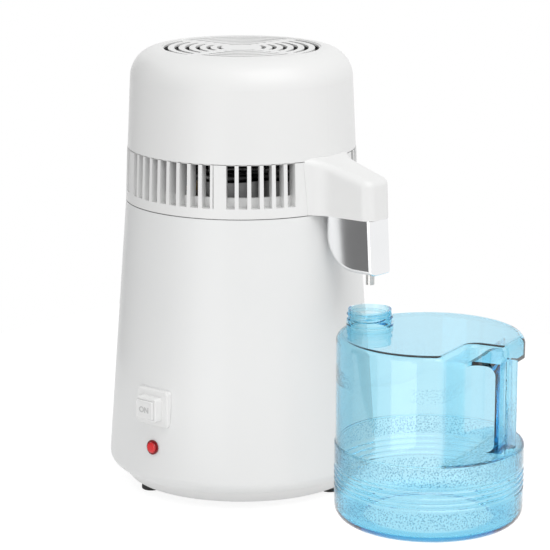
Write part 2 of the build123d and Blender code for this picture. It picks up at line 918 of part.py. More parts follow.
def lead_radii(points):
    """The radius at each corner of a lead: as large as the two runs that meet there allow."""
    radii = []
    for before, corner, after in zip(points, points[1:], points[2:]):
        arriving = Vector(*corner) - Vector(*before)
        leaving = Vector(*after) - Vector(*corner)
        half_bend = radians(arriving.get_angle(leaving)) / 2
        shorter = min(arriving.length, leaving.length)
        radii.append(min(lead_bend, shorter * bend_share / tan(half_bend)))
    return radii


with BuildPart() as internal_leads:
    for route in lead_routes:
        with BuildLine() as lead_route:
            FilletPolyline(*route, radius=lead_radii(route))
        with BuildSketch(Plane(origin=route[0], z_dir=Vector(*route[1]) - Vector(*route[0]))):
            Circle(lead_radius)
        sweep(path=lead_route.wire())
finish(internal_leads.part, "internal_leads")

# Silicone seal that the head rests on, on the pot's flange
with BuildPart() as lid_seal:
    revolve_outline(
        (pot_radius + seal_inner_gap, seal_bottom),
        (pot_rim - seal_outer_gap, seal_bottom),
        (pot_rim - seal_outer_gap, seal_top),
        (pot_radius + seal_inner_gap, seal_top),
    )
finish(lid_seal.part, "lid_seal")

# Lid plate over the pot, screwed up into the vent ring's ledge
lid_screw_angles = [lid_screw_start + full_turn * k / lid_screw_count for k in range(lid_screw_count)]
with BuildPart() as lid_plate:
    with Locations((0, 0, lid_bottom)):
        Cylinder(skirt_radius - lid_edge_gap, lid_thickness, align=standing)
    with Locations((riser_x, riser_y, lid_bottom)):
        Cylinder(tube_radius + snug, lid_thickness, align=standing, mode=Mode.SUBTRACT)
    with Locations(*[polar(lid_screw_circle, angle, lid_bottom) for angle in lid_screw_angles]):
        Cylinder(small_screw_radius + snug, lid_thickness, align=standing, mode=Mode.SUBTRACT)
finish(lid_plate.part, "lid_plate")

with BuildPart() as lid_screws:
    add_screws(
        [Location(polar(lid_screw_circle, angle, lid_bottom)) for angle in lid_screw_angles],
        small_screw_radius, lid_screw_length, small_head_radius, small_head_height,
    )
finish(lid_screws.part, "lid_screws")

# Vent ring: skirt, ledge, a sill behind the vents, and slats between open slots
vent_step = full_turn / vent_count
pillar_step = full_turn / pillar_count
vent_angles = [
    vent_step * k - half_turn
    for k in range(vent_count)
    if abs(vent_step * k - half_turn) > arm_clear_angle and (vent_step * k) % pillar_step
]
pillar_line_angles = [
    pillar_line_angle + pillar_step * k for k in range(pillar_count) if k != 1
]
head_screw_angles = [head_screw_start + full_turn * k / head_screw_count for k in range(head_screw_count)]
head_screw_seat = lid_top + small_head_height + snug
rim_radius = dome_bottom_radius - dome_wall - slip
arm_screw_height = arm_bottom + arm_screw_rise
arm_screw_seat = slat_inner + arm_head_depth - small_head_height
boss_bottom = ring_top + rim_rise + snug
with BuildPart() as vent_ring:
    revolve_outline(
        (skirt_radius, ring_bottom),
        (case_top_radius, ring_bottom),
        (ring_top_radius, ring_top),
        (slat_inner, ring_top),
        (slat_inner, ledge_top),
        (ledge_inner, ledge_top),
        (ledge_inner, lid_top),
        (skirt_radius, lid_top),
    )
    slot_length = case_top_radius + overrun - slat_inner + overrun
    with BuildSketch(Plane.XY.offset(sill_top)):
        with Locations(*[
            Location(polar(slat_inner - overrun + slot_length / 2, angle), (0, 0, angle))
            for angle in vent_angles
        ]):
            Rectangle(slot_length, vent_width)
    extrude(amount=ring_top - sill_top, mode=Mode.SUBTRACT)
    front_length = case_top_radius + overrun - slat_inner - sill_thickness
    with BuildSketch(Plane.XY.offset(ledge_top)):
        with Locations(*[
            Location(polar(slat_inner + sill_thickness + front_length / 2, angle), (0, 0, angle))
            for angle in vent_angles
        ]):
            Rectangle(front_length, vent_width)
    extrude(amount=sill_top - ledge_top, mode=Mode.SUBTRACT)
    with BuildSketch(Plane.XY.offset(ledge_top)):
        with Locations(*[
            Location(polar(case_top_radius, angle), (0, 0, angle)) for angle in pillar_line_angles
        ]):
            Rectangle(pillar_line_depth * 2 + ring_taper * 2, pillar_line_width)
    extrude(amount=ring_top - ledge_top, mode=Mode.SUBTRACT)
    revolve_outline(
        (rim_radius - rim_width, ring_top - rim_drop),
        (rim_radius, ring_top - rim_drop),
        (rim_radius, ring_top + rim_rise),
        (rim_radius - rim_width, ring_top + rim_rise),
    )
    with Locations(*[polar(lid_screw_circle, angle, lid_top) for angle in lid_screw_angles]):
        Cylinder(ledge_boss_radius, ledge_boss_height, align=standing)
        Cylinder(small_screw_radius + snug, ledge_boss_height, align=standing, mode=Mode.SUBTRACT)
    with Locations(*[polar(screw_circle, angle, lid_top) for angle in head_screw_angles]):
        Cylinder(small_screw_radius + snug, ring_height, align=standing, mode=Mode.SUBTRACT)
        Cylinder(small_head_radius + snug, head_screw_seat - lid_top, align=standing, mode=Mode.SUBTRACT)
    with BuildSketch(Plane.YZ):
        with Locations((0, outlet_height)):
            Circle(tube_radius + snug)
        with Locations((-arm_boss_side, arm_screw_height), (arm_boss_side, arm_screw_height)):
            Circle(small_screw_radius + snug)
    extrude(amount=case_top_radius + overrun, mode=Mode.SUBTRACT)
    with BuildSketch(Plane.YZ):
        with Locations((-arm_boss_side, arm_screw_height), (arm_boss_side, arm_screw_height)):
            Circle(small_head_radius + snug)
    extrude(amount=arm_screw_seat, mode=Mode.SUBTRACT)
finish(vent_ring.part, "vent_ring")

with BuildPart() as head_screws:
    add_screws(
        [Location(polar(screw_circle, angle, head_screw_seat)) for angle in head_screw_angles],
        small_screw_radius, boss_bottom + boss_grip - head_screw_seat, small_head_radius, small_head_height,
    )
finish(head_screws.part, "head_screws")

# Condenser: a riser from the lid, a coil that winds down inside the vents, and a drain into the spout
coil_stops = helix_stops((0, 0), coil_radius, coil_high, -coil_pitch, -quarter_turn, coil_turns)
drain_x = ledge_inner
swing = 2 * atan2(coil_radius, drain_x)
lead_in_heading = (-lead_in_x, -coil_radius - lead_in_y, 0)
forward = (1, 0, 0)
condenser_stops = (
    [
        ((riser_x, riser_y, riser_foot), up),
        ((riser_x, riser_y, coil_high - riser_top_drop), up),
        ((lead_in_x, lead_in_y, lead_in_height), lead_in_heading),
    ]
    + coil_stops
    + [
        ((drain_x / 2, -coil_radius / 2, (coil_low + outlet_height) / 2), (cos(swing), sin(swing), 0)),
        ((drain_x, 0, outlet_height), forward),
        ((drop_x - outlet_bend, 0, outlet_height), forward),
        ((drop_x, 0, outlet_height - outlet_bend), down),
        ((drop_x, 0, outlet_height - outlet_bend - outlet_tail), down),
    ]
)
with BuildPart() as condenser_coil:
    with BuildLine() as condenser_route:
        route_through(condenser_stops)
    with BuildSketch(Plane(origin=condenser_stops[0][0], z_dir=up)):
        Circle(tube_radius)
        Circle(tube_bore, mode=Mode.SUBTRACT)
    sweep(path=condenser_route.wire())
finish(condenser_coil.part, "condenser_coil")
print("condenser_coil least gap to itself", round(least_gap(condenser_route.wire(), tube_radius), 3))

fin_count = int(coil_turns * full_turn / fin_step_angle) - 2
with BuildLine() as fin_route:
    route_through(coil_stops)
fin_wire = fin_route.wire()
fin_shares = [(k + 1) / (fin_count + 2) for k in range(fin_count + 1)]
fin_planes = [
    Plane(origin=fin_wire.position_at(share), z_dir=fin_wire.tangent_at(share)) for share in fin_shares
]
with BuildPart() as coil_fins:
    with BuildSketch(*fin_planes):
        Circle(fin_radius)
        Circle(tube_radius + snug, mode=Mode.SUBTRACT)
    extrude(amount=fin_thickness)
finish(coil_fins.part, "coil_fins")

with BuildPart() as steam_nut:
    with BuildSketch(Plane.XY.offset(lid_top)):
        with Locations((riser_x, riser_y)):
            RegularPolygon(steam_nut_radius, nut_sides)
            Circle(tube_radius + snug, mode=Mode.SUBTRACT)
    extrude(amount=steam_nut_height)
finish(steam_nut.part, "steam_nut")

# Dome cover: tapered side, rounded shoulder, top grille, screw bosses and posts for the motor bracket
dome_corner_radius = dome_radius(dome_top)
dome_roof = dome_top - dome_wall
post_angles = [post_start + full_turn * k / post_count for k in range(post_count)]
spoke_turn = full_turn / grille_sectors
fan_inlet_height = dome_bottom + fan_inlet_rise
fan_body_width = fan_cavity_width + inlet_shell * 2
fan_body_tall = fan_cavity_tall + inlet_shell * 2
with BuildPart() as dome_cover:
    revolve_outline(
        (dome_bottom_radius - dome_wall, dome_bottom),
        (dome_bottom_radius, dome_bottom),
        (dome_corner_radius, dome_top),
        (0, dome_top),
        (0, dome_roof),
        (dome_corner_radius - dome_wall, dome_roof),
        radii=[0, 0, dome_shoulder, 0, 0, dome_shoulder - dome_wall],
    )
    with BuildSketch(Plane.XY.offset(dome_top)):
        Circle(grille_radius + grille_margin)
    extrude(amount=-grille_recess, mode=Mode.SUBTRACT)
    with BuildSketch(Plane.XY.offset(dome_top)):
        for ring in range(grille_rings):
            Circle(grille_radius - grille_pitch * ring)
            Circle(grille_radius - grille_pitch * ring - grille_slot, mode=Mode.SUBTRACT)
        with Locations(*[Location((0, 0), spoke_turn * k) for k in range(grille_sectors)]):
            Rectangle(
                grille_radius + overrun, grille_spoke, align=(Align.MIN, Align.CENTER), mode=Mode.SUBTRACT
            )
    extrude(amount=-dome_wall - overrun, mode=Mode.SUBTRACT)
    with Locations(*[polar(screw_circle, angle, boss_bottom) for angle in head_screw_angles]):
        Cylinder(boss_radius, boss_length, align=standing)
        Cylinder(small_screw_radius + snug, boss_grip + snug, align=standing, mode=Mode.SUBTRACT)
    with Locations(*[polar(post_circle, angle, bracket_top) for angle in post_angles]):
        Cylinder(post_radius, dome_roof - dome_wall - bracket_top, align=standing)
        Cylinder(small_screw_radius + snug, post_screw_length, align=standing, mode=Mode.SUBTRACT)
    with BuildSketch(back_plane):
        with Locations((0, fan_inlet_height)):
            Rectangle(fan_body_width + snug * 2, fan_body_tall + snug * 2)
    extrude(amount=dome_bottom_radius + overrun, mode=Mode.SUBTRACT)
finish(dome_cover.part, "dome_cover")

# Fan motor, hung under a three-armed bracket
motor_screw_angles = [
    post_start + full_turn * (k + post_between_share) / post_count for k in range(post_count)
]
with BuildPart() as fan_motor:
    with Locations((0, 0, bracket_bottom)):
        Cylinder(motor_radius, motor_length, align=hanging)
    fillet(fan_motor.edges().group_by(Axis.Z)[0], motor_edge)
    with Locations((0, 0, bracket_bottom)):
        Cylinder(shaft_radius + running_fit, motor_bore_depth, align=hanging, mode=Mode.SUBTRACT)
    with Locations(*[polar(motor_screw_circle, angle, bracket_bottom) for angle in motor_screw_angles]):
        Cylinder(small_screw_radius + snug, motor_screw_length, align=hanging, mode=Mode.SUBTRACT)
finish(fan_motor.part, "fan_motor")

bracket_reach = post_circle + bracket_arm / 2
with BuildPart() as motor_bracket:
    with BuildSketch(Plane.XY.offset(bracket_bottom)) as bracket_plan:
        Circle(motor_radius)
        with Locations(*[Location((0, 0), angle) for angle in post_angles]):
            Rectangle(bracket_reach, bracket_arm, align=(Align.MIN, Align.CENTER))
        Circle(bracket_collar_radius, mode=Mode.SUBTRACT)
        with Locations(*[polar(post_circle, angle) for angle in post_angles]):
            Circle(small_screw_radius + snug, mode=Mode.SUBTRACT)
        with Locations(*[polar(motor_screw_circle, angle) for angle in motor_screw_angles]):
            Circle(small_screw_radius + snug, mode=Mode.SUBTRACT)
    extrude(amount=bracket_thickness)
finish(motor_bracket.part, "motor_bracket")

with BuildPart() as bracket_screws:
    add_screws(
        [Location(polar(post_circle, angle, bracket_bottom)) for angle in post_angles],
        small_screw_radius, post_screw_length, small_head_radius, small_head_height,
    )
finish(bracket_screws.part, "bracket_screws")

with BuildPart() as motor_screws:
    add_screws(
        [
            Plane(origin=polar(motor_screw_circle, angle, bracket_top), z_dir=down).location
            for angle in motor_screw_angles
        ],
        small_screw_radius, motor_screw_length, small_head_radius, small_head_height,
    )
finish(motor_screws.part, "motor_screws")

# Fan impeller and its shaft
hub_top = dome_roof - fan_grille_gap
hub_bottom = hub_top - hub_height
shaft_bottom = bracket_bottom - motor_bore_depth + slip
shaft_top = hub_top - hub_wall
with BuildPart() as fan_shaft:
    with Locations((0, 0, shaft_bottom)):
        Cylinder(shaft_radius, shaft_top - shaft_bottom, align=standing)
finish(fan_shaft.part, "fan_shaft")

blade_root = hub_radius - hub_wall * 2
blade_length = blade_tip_radius + overrun - blade_root
with BuildPart() as fan_impeller:
    with PolarLocations(blade_root + blade_length / 2, blade_count):
        with Locations((0, 0, hub_bottom + hub_height / 2)):
            Box(blade_length, blade_chord, blade_thickness, rotation=(blade_twist, 0, 0))
    with Locations((0, 0, hub_bottom - overrun)):
        Cylinder(blade_tip_radius, hub_height + overrun * 2, align=standing, mode=Mode.INTERSECT)
    with Locations((0, 0, hub_bottom)):
        Cylinder(hub_radius, hub_height, align=standing)
        Cylinder(hub_radius - hub_wall, hub_height - hub_wall, align=standing, mode=Mode.SUBTRACT)
        Cylinder(shaft_radius + hub_wall + snug, hub_height, align=standing)
        Cylinder(shaft_radius + snug, hub_height - hub_wall + snug, align=standing, mode=Mode.SUBTRACT)
finish(fan_impeller.part, "fan_impeller")

# Mains inlet for the fan: a small two-pin socket seated on the dome's back, and the lead to the motor
fan_front = dome_radius(fan_inlet_height) + fan_inlet_stand
fan_cavity_back = fan_front - fan_cavity_depth
fan_back = fan_cavity_back - inlet_shell
fan_pin_places = [(-fan_pin_spacing, fan_inlet_height), (fan_pin_spacing, fan_inlet_height)]
with BuildPart() as fan_inlet:
    with BuildSketch(back_plane.offset(fan_back)):
        with Locations((0, fan_inlet_height)):
            RectangleRounded(fan_inlet_width, fan_inlet_tall, inlet_corner)
    extrude(amount=fan_front - fan_back)
    revolve_outline(
        (0, dome_bottom),
        (dome_bottom_radius + snug, dome_bottom),
        (dome_top_radius + snug, dome_shoulder_height),
        (0, dome_shoulder_height),
        mode=Mode.SUBTRACT,
    )
    with BuildSketch(back_plane.offset(fan_back)):
        with Locations((0, fan_inlet_height)):
            Rectangle(fan_body_width, fan_body_tall)
    extrude(amount=fan_front - fan_back)
    with BuildSketch(back_plane.offset(fan_cavity_back)):
        with Locations((0, fan_inlet_height)):
            RectangleRounded(fan_cavity_width, fan_cavity_tall, inlet_shell)
    extrude(amount=fan_cavity_depth, mode=Mode.SUBTRACT)
    with BuildSketch(back_plane.offset(fan_back)):
        with Locations(*fan_pin_places):
            Circle(fan_pin_radius + snug)
    extrude(amount=inlet_shell, mode=Mode.SUBTRACT)
finish(fan_inlet.part, "fan_inlet")

with BuildPart() as fan_inlet_pins:
    with BuildSketch(back_plane.offset(fan_back - fan_pin_tail)):
        with Locations(*fan_pin_places):
            Circle(fan_pin_radius)
    extrude(amount=fan_front - fan_pin_recess - fan_back + fan_pin_tail)
finish(fan_inlet_pins.part, "fan_inlet_pins")

fan_lead_end = sqrt(motor_radius**2 - fan_pin_spacing**2) + snug * 2
fan_lead_start = fan_back - fan_pin_tail - snug
with BuildPart() as fan_lead:
    with BuildSketch(back_plane.offset(fan_lead_end)):
        with Locations(*fan_pin_places):
            Circle(lead_radius)
    extrude(amount=fan_lead_start - fan_lead_end)
finish(fan_lead.part, "fan_lead")


def arm_plan(inset, level):
    """The arm's outline from above, inset all round: straight to the waist, then flared to its root."""
    tip = arm_tip - inset
    tip_half = arm_tip_half - inset
    waist_half = arm_waist_half - inset
    root_half = arm_root_half - inset
    with BuildSketch(Plane.XY.offset(level)) as plan:
        with BuildLine():
            near_side = Line((tip, -tip_half), (arm_waist, -waist_half))
            near_flare = TangentArc(near_side @ 1, (arm_root, -root_half), tangent=near_side % 1)
            far_side = Line((tip, tip_half), (arm_waist, waist_half))
            far_flare = TangentArc(far_side @ 1, (arm_root, root_half), tangent=far_side % 1)
            Line((tip, -tip_half), (tip, tip_half))
            near_root = near_flare @ 1 + (near_flare % 1) * arm_root_run
            far_root = far_flare @ 1 + (far_flare % 1) * arm_root_run
            Polyline(near_flare @ 1, near_root, far_root, far_flare @ 1)
        make_face()
    return plan.sketch


# Spout arm: a hollow arm, open below, with a sloping top, screwed to the vent ring from inside
arm_root = sqrt(ring_top_radius**2 - arm_root_half**2)
arm_height = dome_bottom + arm_root_rise + arm_root_run - arm_bottom
top_run = arm_tip - dome_bottom_radius
top_fall = arm_root_rise + arm_tip_drop
top_plane = Plane(
    origin=(dome_bottom_radius, 0, dome_bottom + arm_root_rise), x_dir=(top_run, 0, -top_fall),
    z_dir=(top_fall, 0, top_run),
)
front_plane = Plane(origin=(arm_tip, 0, arm_bottom), z_dir=(arm_height, 0, arm_lean))
with BuildPart() as arm_hollow:
    extrude(arm_plan(arm_wall, arm_bottom), amount=arm_height)
    split(bisect_by=top_plane.offset(-arm_wall), keep=Keep.BOTTOM)
    split(bisect_by=front_plane.offset(-arm_wall), keep=Keep.BOTTOM)
    hollow_tip = arm_hollow.faces().sort_by(Axis.X)[-1].edges()
    hollow_sides = hollow_tip.filter_by(lambda edge: abs(edge.center().Y) > arm_tip_half / 2)
    fillet(hollow_sides, arm_tip_corner - arm_wall)

with BuildPart() as spout_arm:
    extrude(arm_plan(0, arm_bottom), amount=arm_height)
    split(bisect_by=top_plane, keep=Keep.BOTTOM)
    split(bisect_by=front_plane, keep=Keep.BOTTOM)
    arm_tip_edges = spout_arm.faces().sort_by(Axis.X)[-1].edges()
    fillet(arm_tip_edges.filter_by(lambda edge: abs(edge.center().Y) > arm_tip_half / 2), arm_tip_corner)
    fillet(spout_arm.faces().sort_by(Axis.Z)[-1].edges().sort_by(Axis.X)[1:], arm_edge)
    add(arm_hollow.part, mode=Mode.SUBTRACT)
    with BuildSketch(Plane.YZ.offset(arm_root)):
        with Locations((-arm_boss_side, arm_screw_height), (arm_boss_side, arm_screw_height)):
            Circle(arm_boss_radius)
    extrude(amount=dome_bottom_radius + arm_boss_length - arm_root)
    revolve_outline(
        (0, ring_bottom - overrun),
        (case_top_radius + snug, ring_bottom - overrun),
        (case_top_radius + snug, ring_bottom),
        (ring_top_radius + snug, ring_top),
        (dome_bottom_radius + snug, dome_bottom),
        (dome_top_radius + snug, dome_shoulder_height),
        (0, dome_shoulder_height),
        mode=Mode.SUBTRACT,
    )
    with BuildSketch(Plane.YZ):
        with Locations((-arm_boss_side, arm_screw_height), (arm_boss_side, arm_screw_height)):
            Circle(small_screw_radius + snug)
    extrude(amount=case_top_radius + arm_screw_grip, mode=Mode.SUBTRACT)
finish(spout_arm.part, "spout_arm")

with BuildPart() as arm_screws:
    add_screws(
        [
            Plane(origin=(arm_screw_seat, side, arm_screw_height), z_dir=forward).location
            for side in (-arm_boss_side, arm_boss_side)
        ],
        small_screw_radius, case_top_radius + arm_screw_grip - snug - arm_screw_seat,
        small_head_radius, small_head_height,
    )
finish(arm_screws.part, "arm_screws")


def spout_profile(inset, top):
    """The spout from the side, inset all round: an upright back, a large lower round and a leaning front."""
    bottom = spout_bottom + inset
    with BuildSketch(Plane.XZ) as profile:
        with BuildLine():
            FilletPolyline(
                (spout_back + inset, top),
                (spout_front - inset, top),
                (spout_front + spout_flare - inset, bottom),
                (spout_back + inset, bottom),
                radius=[0, 0, spout_edge, spout_round - inset],
                close=True,
            )
        make_face()
    return profile.sketch


# Chrome spout: a shell with a collar that slips up into the arm
collar_draw = collar_rise * arm_lean / arm_height
collar_half = arm_tip_half - arm_wall - slip
collar_front = arm_tip - arm_wall - slip - collar_draw
collar_back = spout_back + collar_back_inset
collar_middle = (collar_front + collar_back) / 2
collar_corner = arm_tip_corner - arm_wall
with BuildPart() as spout_shell:
    extrude(spout_profile(0, spout_top), amount=spout_half, both=True)
    fillet(spout_shell.edges().filter_by(GeomType.LINE).filter_by(
        lambda edge: edge.center().X > spout_front and abs(edge.center().Y) > spout_half / 2
    ), spout_front_edge)
    extrude(
        spout_profile(spout_wall, spout_top - spout_wall), amount=spout_half - spout_wall, both=True,
        mode=Mode.SUBTRACT,
    )
    with BuildSketch(Plane.XY.offset(spout_top)):
        with Locations((collar_middle, 0)):
            RectangleRounded(collar_front - collar_back, collar_half * 2, collar_corner)
    extrude(amount=collar_rise)
    with BuildSketch(Plane.XY.offset(spout_top - spout_wall)):
        with Locations((collar_middle, 0)):
            RectangleRounded(
                collar_front - collar_back - spout_wall * 2, (collar_half - spout_wall) * 2,
                collar_corner - spout_wall,
            )
    extrude(amount=collar_rise + spout_wall, mode=Mode.SUBTRACT)
    with Locations((outlet_x, 0, spout_bottom)):
        Cylinder(outlet_radius + snug, spout_wall, align=standing, mode=Mode.SUBTRACT)
finish(spout_shell.part, "spout_shell")

# Filter cup in the spout, its charcoal pod, and the outlet tube
cup_bottom = spout_bottom + spout_wall + snug
cup_floor = cup_bottom + cup_wall
with BuildPart() as filter_cup:
    with Locations((outlet_x, 0, cup_bottom)):
        Cylinder(cup_radius, cup_height, align=standing)
        Cylinder(outlet_radius + snug, cup_wall, align=standing, mode=Mode.SUBTRACT)
    with Locations((outlet_x, 0, cup_floor)):
        Cylinder(cup_radius - cup_wall, cup_height - cup_wall, align=standing, mode=Mode.SUBTRACT)
finish(filter_cup.part, "filter_cup")

with BuildPart() as outlet_tube:
    with Locations((outlet_x, 0, outlet_bottom)):
        Cylinder(outlet_radius, cup_floor - outlet_bottom, align=standing)
        Cylinder(outlet_bore, cup_floor - outlet_bottom, align=standing, mode=Mode.SUBTRACT)
finish(outlet_tube.part, "outlet_tube")

with BuildPart() as charcoal_pod:
    with Locations((outlet_x, 0, cup_floor + snug)):
        Cylinder(cup_radius - cup_wall - pod_gap, pod_height, align=standing)
    fillet(charcoal_pod.edges(), pod_edge)
finish(charcoal_pod.part, "charcoal_pod")

# Collection jug: the neck lies under the outlet and the jug's axis just clear of the case
jug_cos = cos(radians(jug_turn))
jug_sin = sin(radians(jug_turn))
jug_distance = case_wide_radius + jug_radius + jug_case_gap
neck_offset = sqrt((outlet_x * jug_cos) ** 2 - outlet_x**2 + jug_distance**2) - outlet_x * jug_cos
jug_axis = (outlet_x + neck_offset * jug_cos, neck_offset * jug_sin, 0)
jug_floor = Plane(origin=jug_axis, x_dir=(jug_cos, jug_sin, 0), z_dir=up)
jug_section = Plane(origin=jug_axis, x_dir=(jug_cos, jug_sin, 0), z_dir=(jug_sin, -jug_cos, 0))
handle_inner = grip_wall_place + grip_gap
handle_outer = handle_inner + handle_depth


def jug_lower(inset):
    """The round lower body of the jug, inset all round, up to the floor of the grip."""
    floor = jug_base_dish + inset if inset else 0
    side = jug_radius - inset
    ledge_round = 0 if inset else jug_ledge_round
    ridges = []
    for k in range(jug_ridge_count):
        low = jug_ridge_bottom + jug_ridge_pitch * k
        for depth, share in zip((0, jug_ridge_depth, jug_ridge_depth, 0), ridge_shares):
            ridges.append((side - depth, low + jug_ridge_pitch * share))
    with BuildSketch(jug_section) as outline:
        with BuildLine():
            FilletPolyline(
                (0, floor), (side, floor), *ridges, (side, grip_floor - inset), (0, grip_floor - inset),
                radius=[0, jug_base_round - inset] + [0] * len(ridges) + [ledge_round, 0],
                close=True,
            )
        make_face()
    revolve(outline.sketch, axis=Axis(jug_axis, up))


def jug_plan(inset, level):
    """The jug's outline beside the grip, inset all round: a circle cut off by the wall behind the grip."""
    with BuildSketch(jug_floor.offset(level)) as plan:
        Circle(jug_radius - jug_step - inset)
        with BuildLine():
            Polyline(
                (grip_wall_edge - inset, -jug_radius),
                (grip_wall_place - inset, inset - handle_half),
                (grip_wall_place - inset, handle_half - inset),
                (grip_wall_edge - inset, jug_radius),
                (jug_radius + overrun, jug_radius),
                (jug_radius + overrun, -jug_radius),
                close=True,
            )
        make_face(mode=Mode.SUBTRACT)
        rim_corners = plan.vertices().filter_by(lambda corner: abs(corner.Y) > handle_half)
        fillet(rim_corners, grip_corner - inset)
    return plan.sketch


def jug_crown(inset, level):
    """The outline over the grip, inset all round: a circle with a near notch, cut off at the handle."""
    with BuildSketch(jug_floor.offset(level)) as plan:
        Circle(jug_radius - jug_step - inset)
        with BuildLine():
            Polyline(
                (grip_wall_edge - inset, -jug_radius),
                (grip_wall_place - inset, inset - handle_half),
                (handle_outer - inset, inset - handle_half),
                (handle_outer - inset, jug_radius),
                (jug_radius + overrun, jug_radius),
                (jug_radius + overrun, -jug_radius),
                close=True,
            )
        make_face(mode=Mode.SUBTRACT)
        far_corners = plan.vertices().filter_by(lambda corner: corner.Y > 0)
        fillet(far_corners.sort_by(Axis.X)[-1], crown_corner - inset)
        near_corners = plan.vertices().filter_by(lambda corner: corner.Y < 0)
        fillet(near_corners.sort_by(Axis.X)[-1], handle_corner - inset)
        notch_corners = plan.vertices().filter_by(
            lambda corner: corner.Y < 0 and corner.X < grip_wall_place + snug
        )
        fillet(notch_corners, grip_corner - inset)
    return plan.sketch


def jug_handle(inset, level):
    """The upright grip's section, inset all round."""
    with BuildSketch(jug_floor.offset(level)) as plan:
        with Locations(((handle_inner + handle_outer) / 2, 0)):
            bore_depth = handle_depth - inset * 2
            RectangleRounded(bore_depth, (handle_half - inset) * 2, bore_depth * handle_bore_share)
    return plan.sketch


with BuildPart() as jug_hollow:
    jug_lower(jug_wall)
    hollow_start = grip_floor - jug_wall * 2
    hollow_ceiling = grip_ceiling + jug_wall
    extrude(jug_plan(jug_wall, hollow_start), amount=hollow_ceiling - hollow_start)
    extrude(jug_crown(jug_wall, hollow_ceiling), amount=jug_shoulder - jug_wall - hollow_ceiling)
    extrude(jug_handle(jug_wall, hollow_start), amount=hollow_ceiling - hollow_start + jug_wall)
    fillet(jug_hollow.faces().sort_by(Axis.Z)[-1].outer_wire().edges(), jug_top_round - jug_wall)

body_start = grip_floor - jug_wall

with BuildPart() as jug_grip:
    with BuildSketch(jug_section):
        with Locations((handle_outer, body_start)):
            Rectangle(handle_outer - grip_wall_place + jug_wall, grip_ceiling - body_start,
                      align=(Align.MAX, Align.MIN))
        with Locations((handle_inner, grip_floor)):
            RectangleRounded(
                grip_gap + grip_round, grip_ceiling - grip_floor, grip_round, align=(Align.MAX, Align.MIN),
                mode=Mode.SUBTRACT,
            )
    extrude(amount=handle_half, both=True)
    with BuildSketch(jug_floor.offset(body_start)) as grip_plan:
        with Locations((handle_outer, 0)):
            Rectangle(handle_outer, handle_half * 2, align=(Align.MAX, Align.CENTER))
        fillet(grip_plan.vertices().group_by(Axis.X)[-1], handle_corner)
    extrude(amount=grip_ceiling - body_start, mode=Mode.INTERSECT)

with BuildPart() as collection_jug:
    jug_lower(0)
    extrude(jug_plan(0, body_start), amount=grip_ceiling - body_start)
    extrude(jug_crown(0, grip_ceiling), amount=jug_shoulder - grip_ceiling)
    add(jug_grip.part)
    fillet(collection_jug.faces().sort_by(Axis.Z)[-1].outer_wire().edges(), jug_top_round)
    with Locations((outlet_x, 0, jug_shoulder - jug_wall)):
        Cylinder(neck_radius, neck_height + jug_wall, align=standing)
    with Locations((outlet_x, 0, jug_shoulder + bead_rise)):
        Cylinder(neck_radius + bead_width, bead_height, align=standing)
    thread_stops = helix_stops(
        (outlet_x, 0), neck_radius, jug_shoulder + thread_start, thread_pitch, half_turn, thread_turns
    )
    with BuildLine() as thread_route:
        route_through(thread_stops)
    with BuildSketch(Plane(origin=thread_stops[0][0], z_dir=thread_stops[0][1])):
        Circle(thread_radius)
    sweep(path=thread_route.wire())
    add(jug_hollow.part, mode=Mode.SUBTRACT)
    with Locations((outlet_x, 0, jug_shoulder - jug_wall * 2)):
        Cylinder(neck_bore, neck_height + jug_wall * 2, align=standing, mode=Mode.SUBTRACT)
    with BuildSketch(jug_floor):
        Circle(jug_radius - jug_base_round - jug_base_ring)
    extrude(amount=jug_base_dish, mode=Mode.SUBTRACT)
finish(collection_jug.part, "collection_jug")
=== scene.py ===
# %% [markdown]
# # A countertop water distiller
# Water boils in a steel pot inside the white case. The head above it carries a condenser tube, a fan and
# the spout arm, and the distilled water drips through a chrome spout into a blue jug. The solids come
# from the CAD frame in metres, so this lesson dresses them in finishes, models the marked push button and
# builds a small studio around them. The first cell loads the frame and gives the box of each part, which
# the added looks stay inside.

# %% The frame
import math

import bpy
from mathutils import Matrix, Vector


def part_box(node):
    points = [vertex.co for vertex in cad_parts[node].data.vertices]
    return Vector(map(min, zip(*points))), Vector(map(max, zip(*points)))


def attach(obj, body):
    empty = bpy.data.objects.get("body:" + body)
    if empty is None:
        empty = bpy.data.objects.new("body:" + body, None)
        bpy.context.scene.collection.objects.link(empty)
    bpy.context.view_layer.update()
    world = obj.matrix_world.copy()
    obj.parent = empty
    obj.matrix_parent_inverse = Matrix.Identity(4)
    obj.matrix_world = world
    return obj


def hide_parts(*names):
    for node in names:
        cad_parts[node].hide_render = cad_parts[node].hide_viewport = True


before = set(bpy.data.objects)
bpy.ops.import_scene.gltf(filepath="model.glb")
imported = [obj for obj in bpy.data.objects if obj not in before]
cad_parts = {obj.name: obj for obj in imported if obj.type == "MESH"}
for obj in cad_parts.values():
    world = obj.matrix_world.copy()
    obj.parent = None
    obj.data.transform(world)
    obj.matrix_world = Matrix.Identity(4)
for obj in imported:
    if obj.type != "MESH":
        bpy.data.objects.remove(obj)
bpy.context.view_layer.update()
mm = 0.001

# %% [markdown]
# ## Camera
# The photograph was taken with a long lens, from the front and to the right, a little above the head. A
# long lens could be copied with an orthographic camera, but the ellipses of the lid and of the jug would
# then be a little too open, so a real lens at its real distance is used. It is aimed at a point beside
# the case, because the jug stands there.

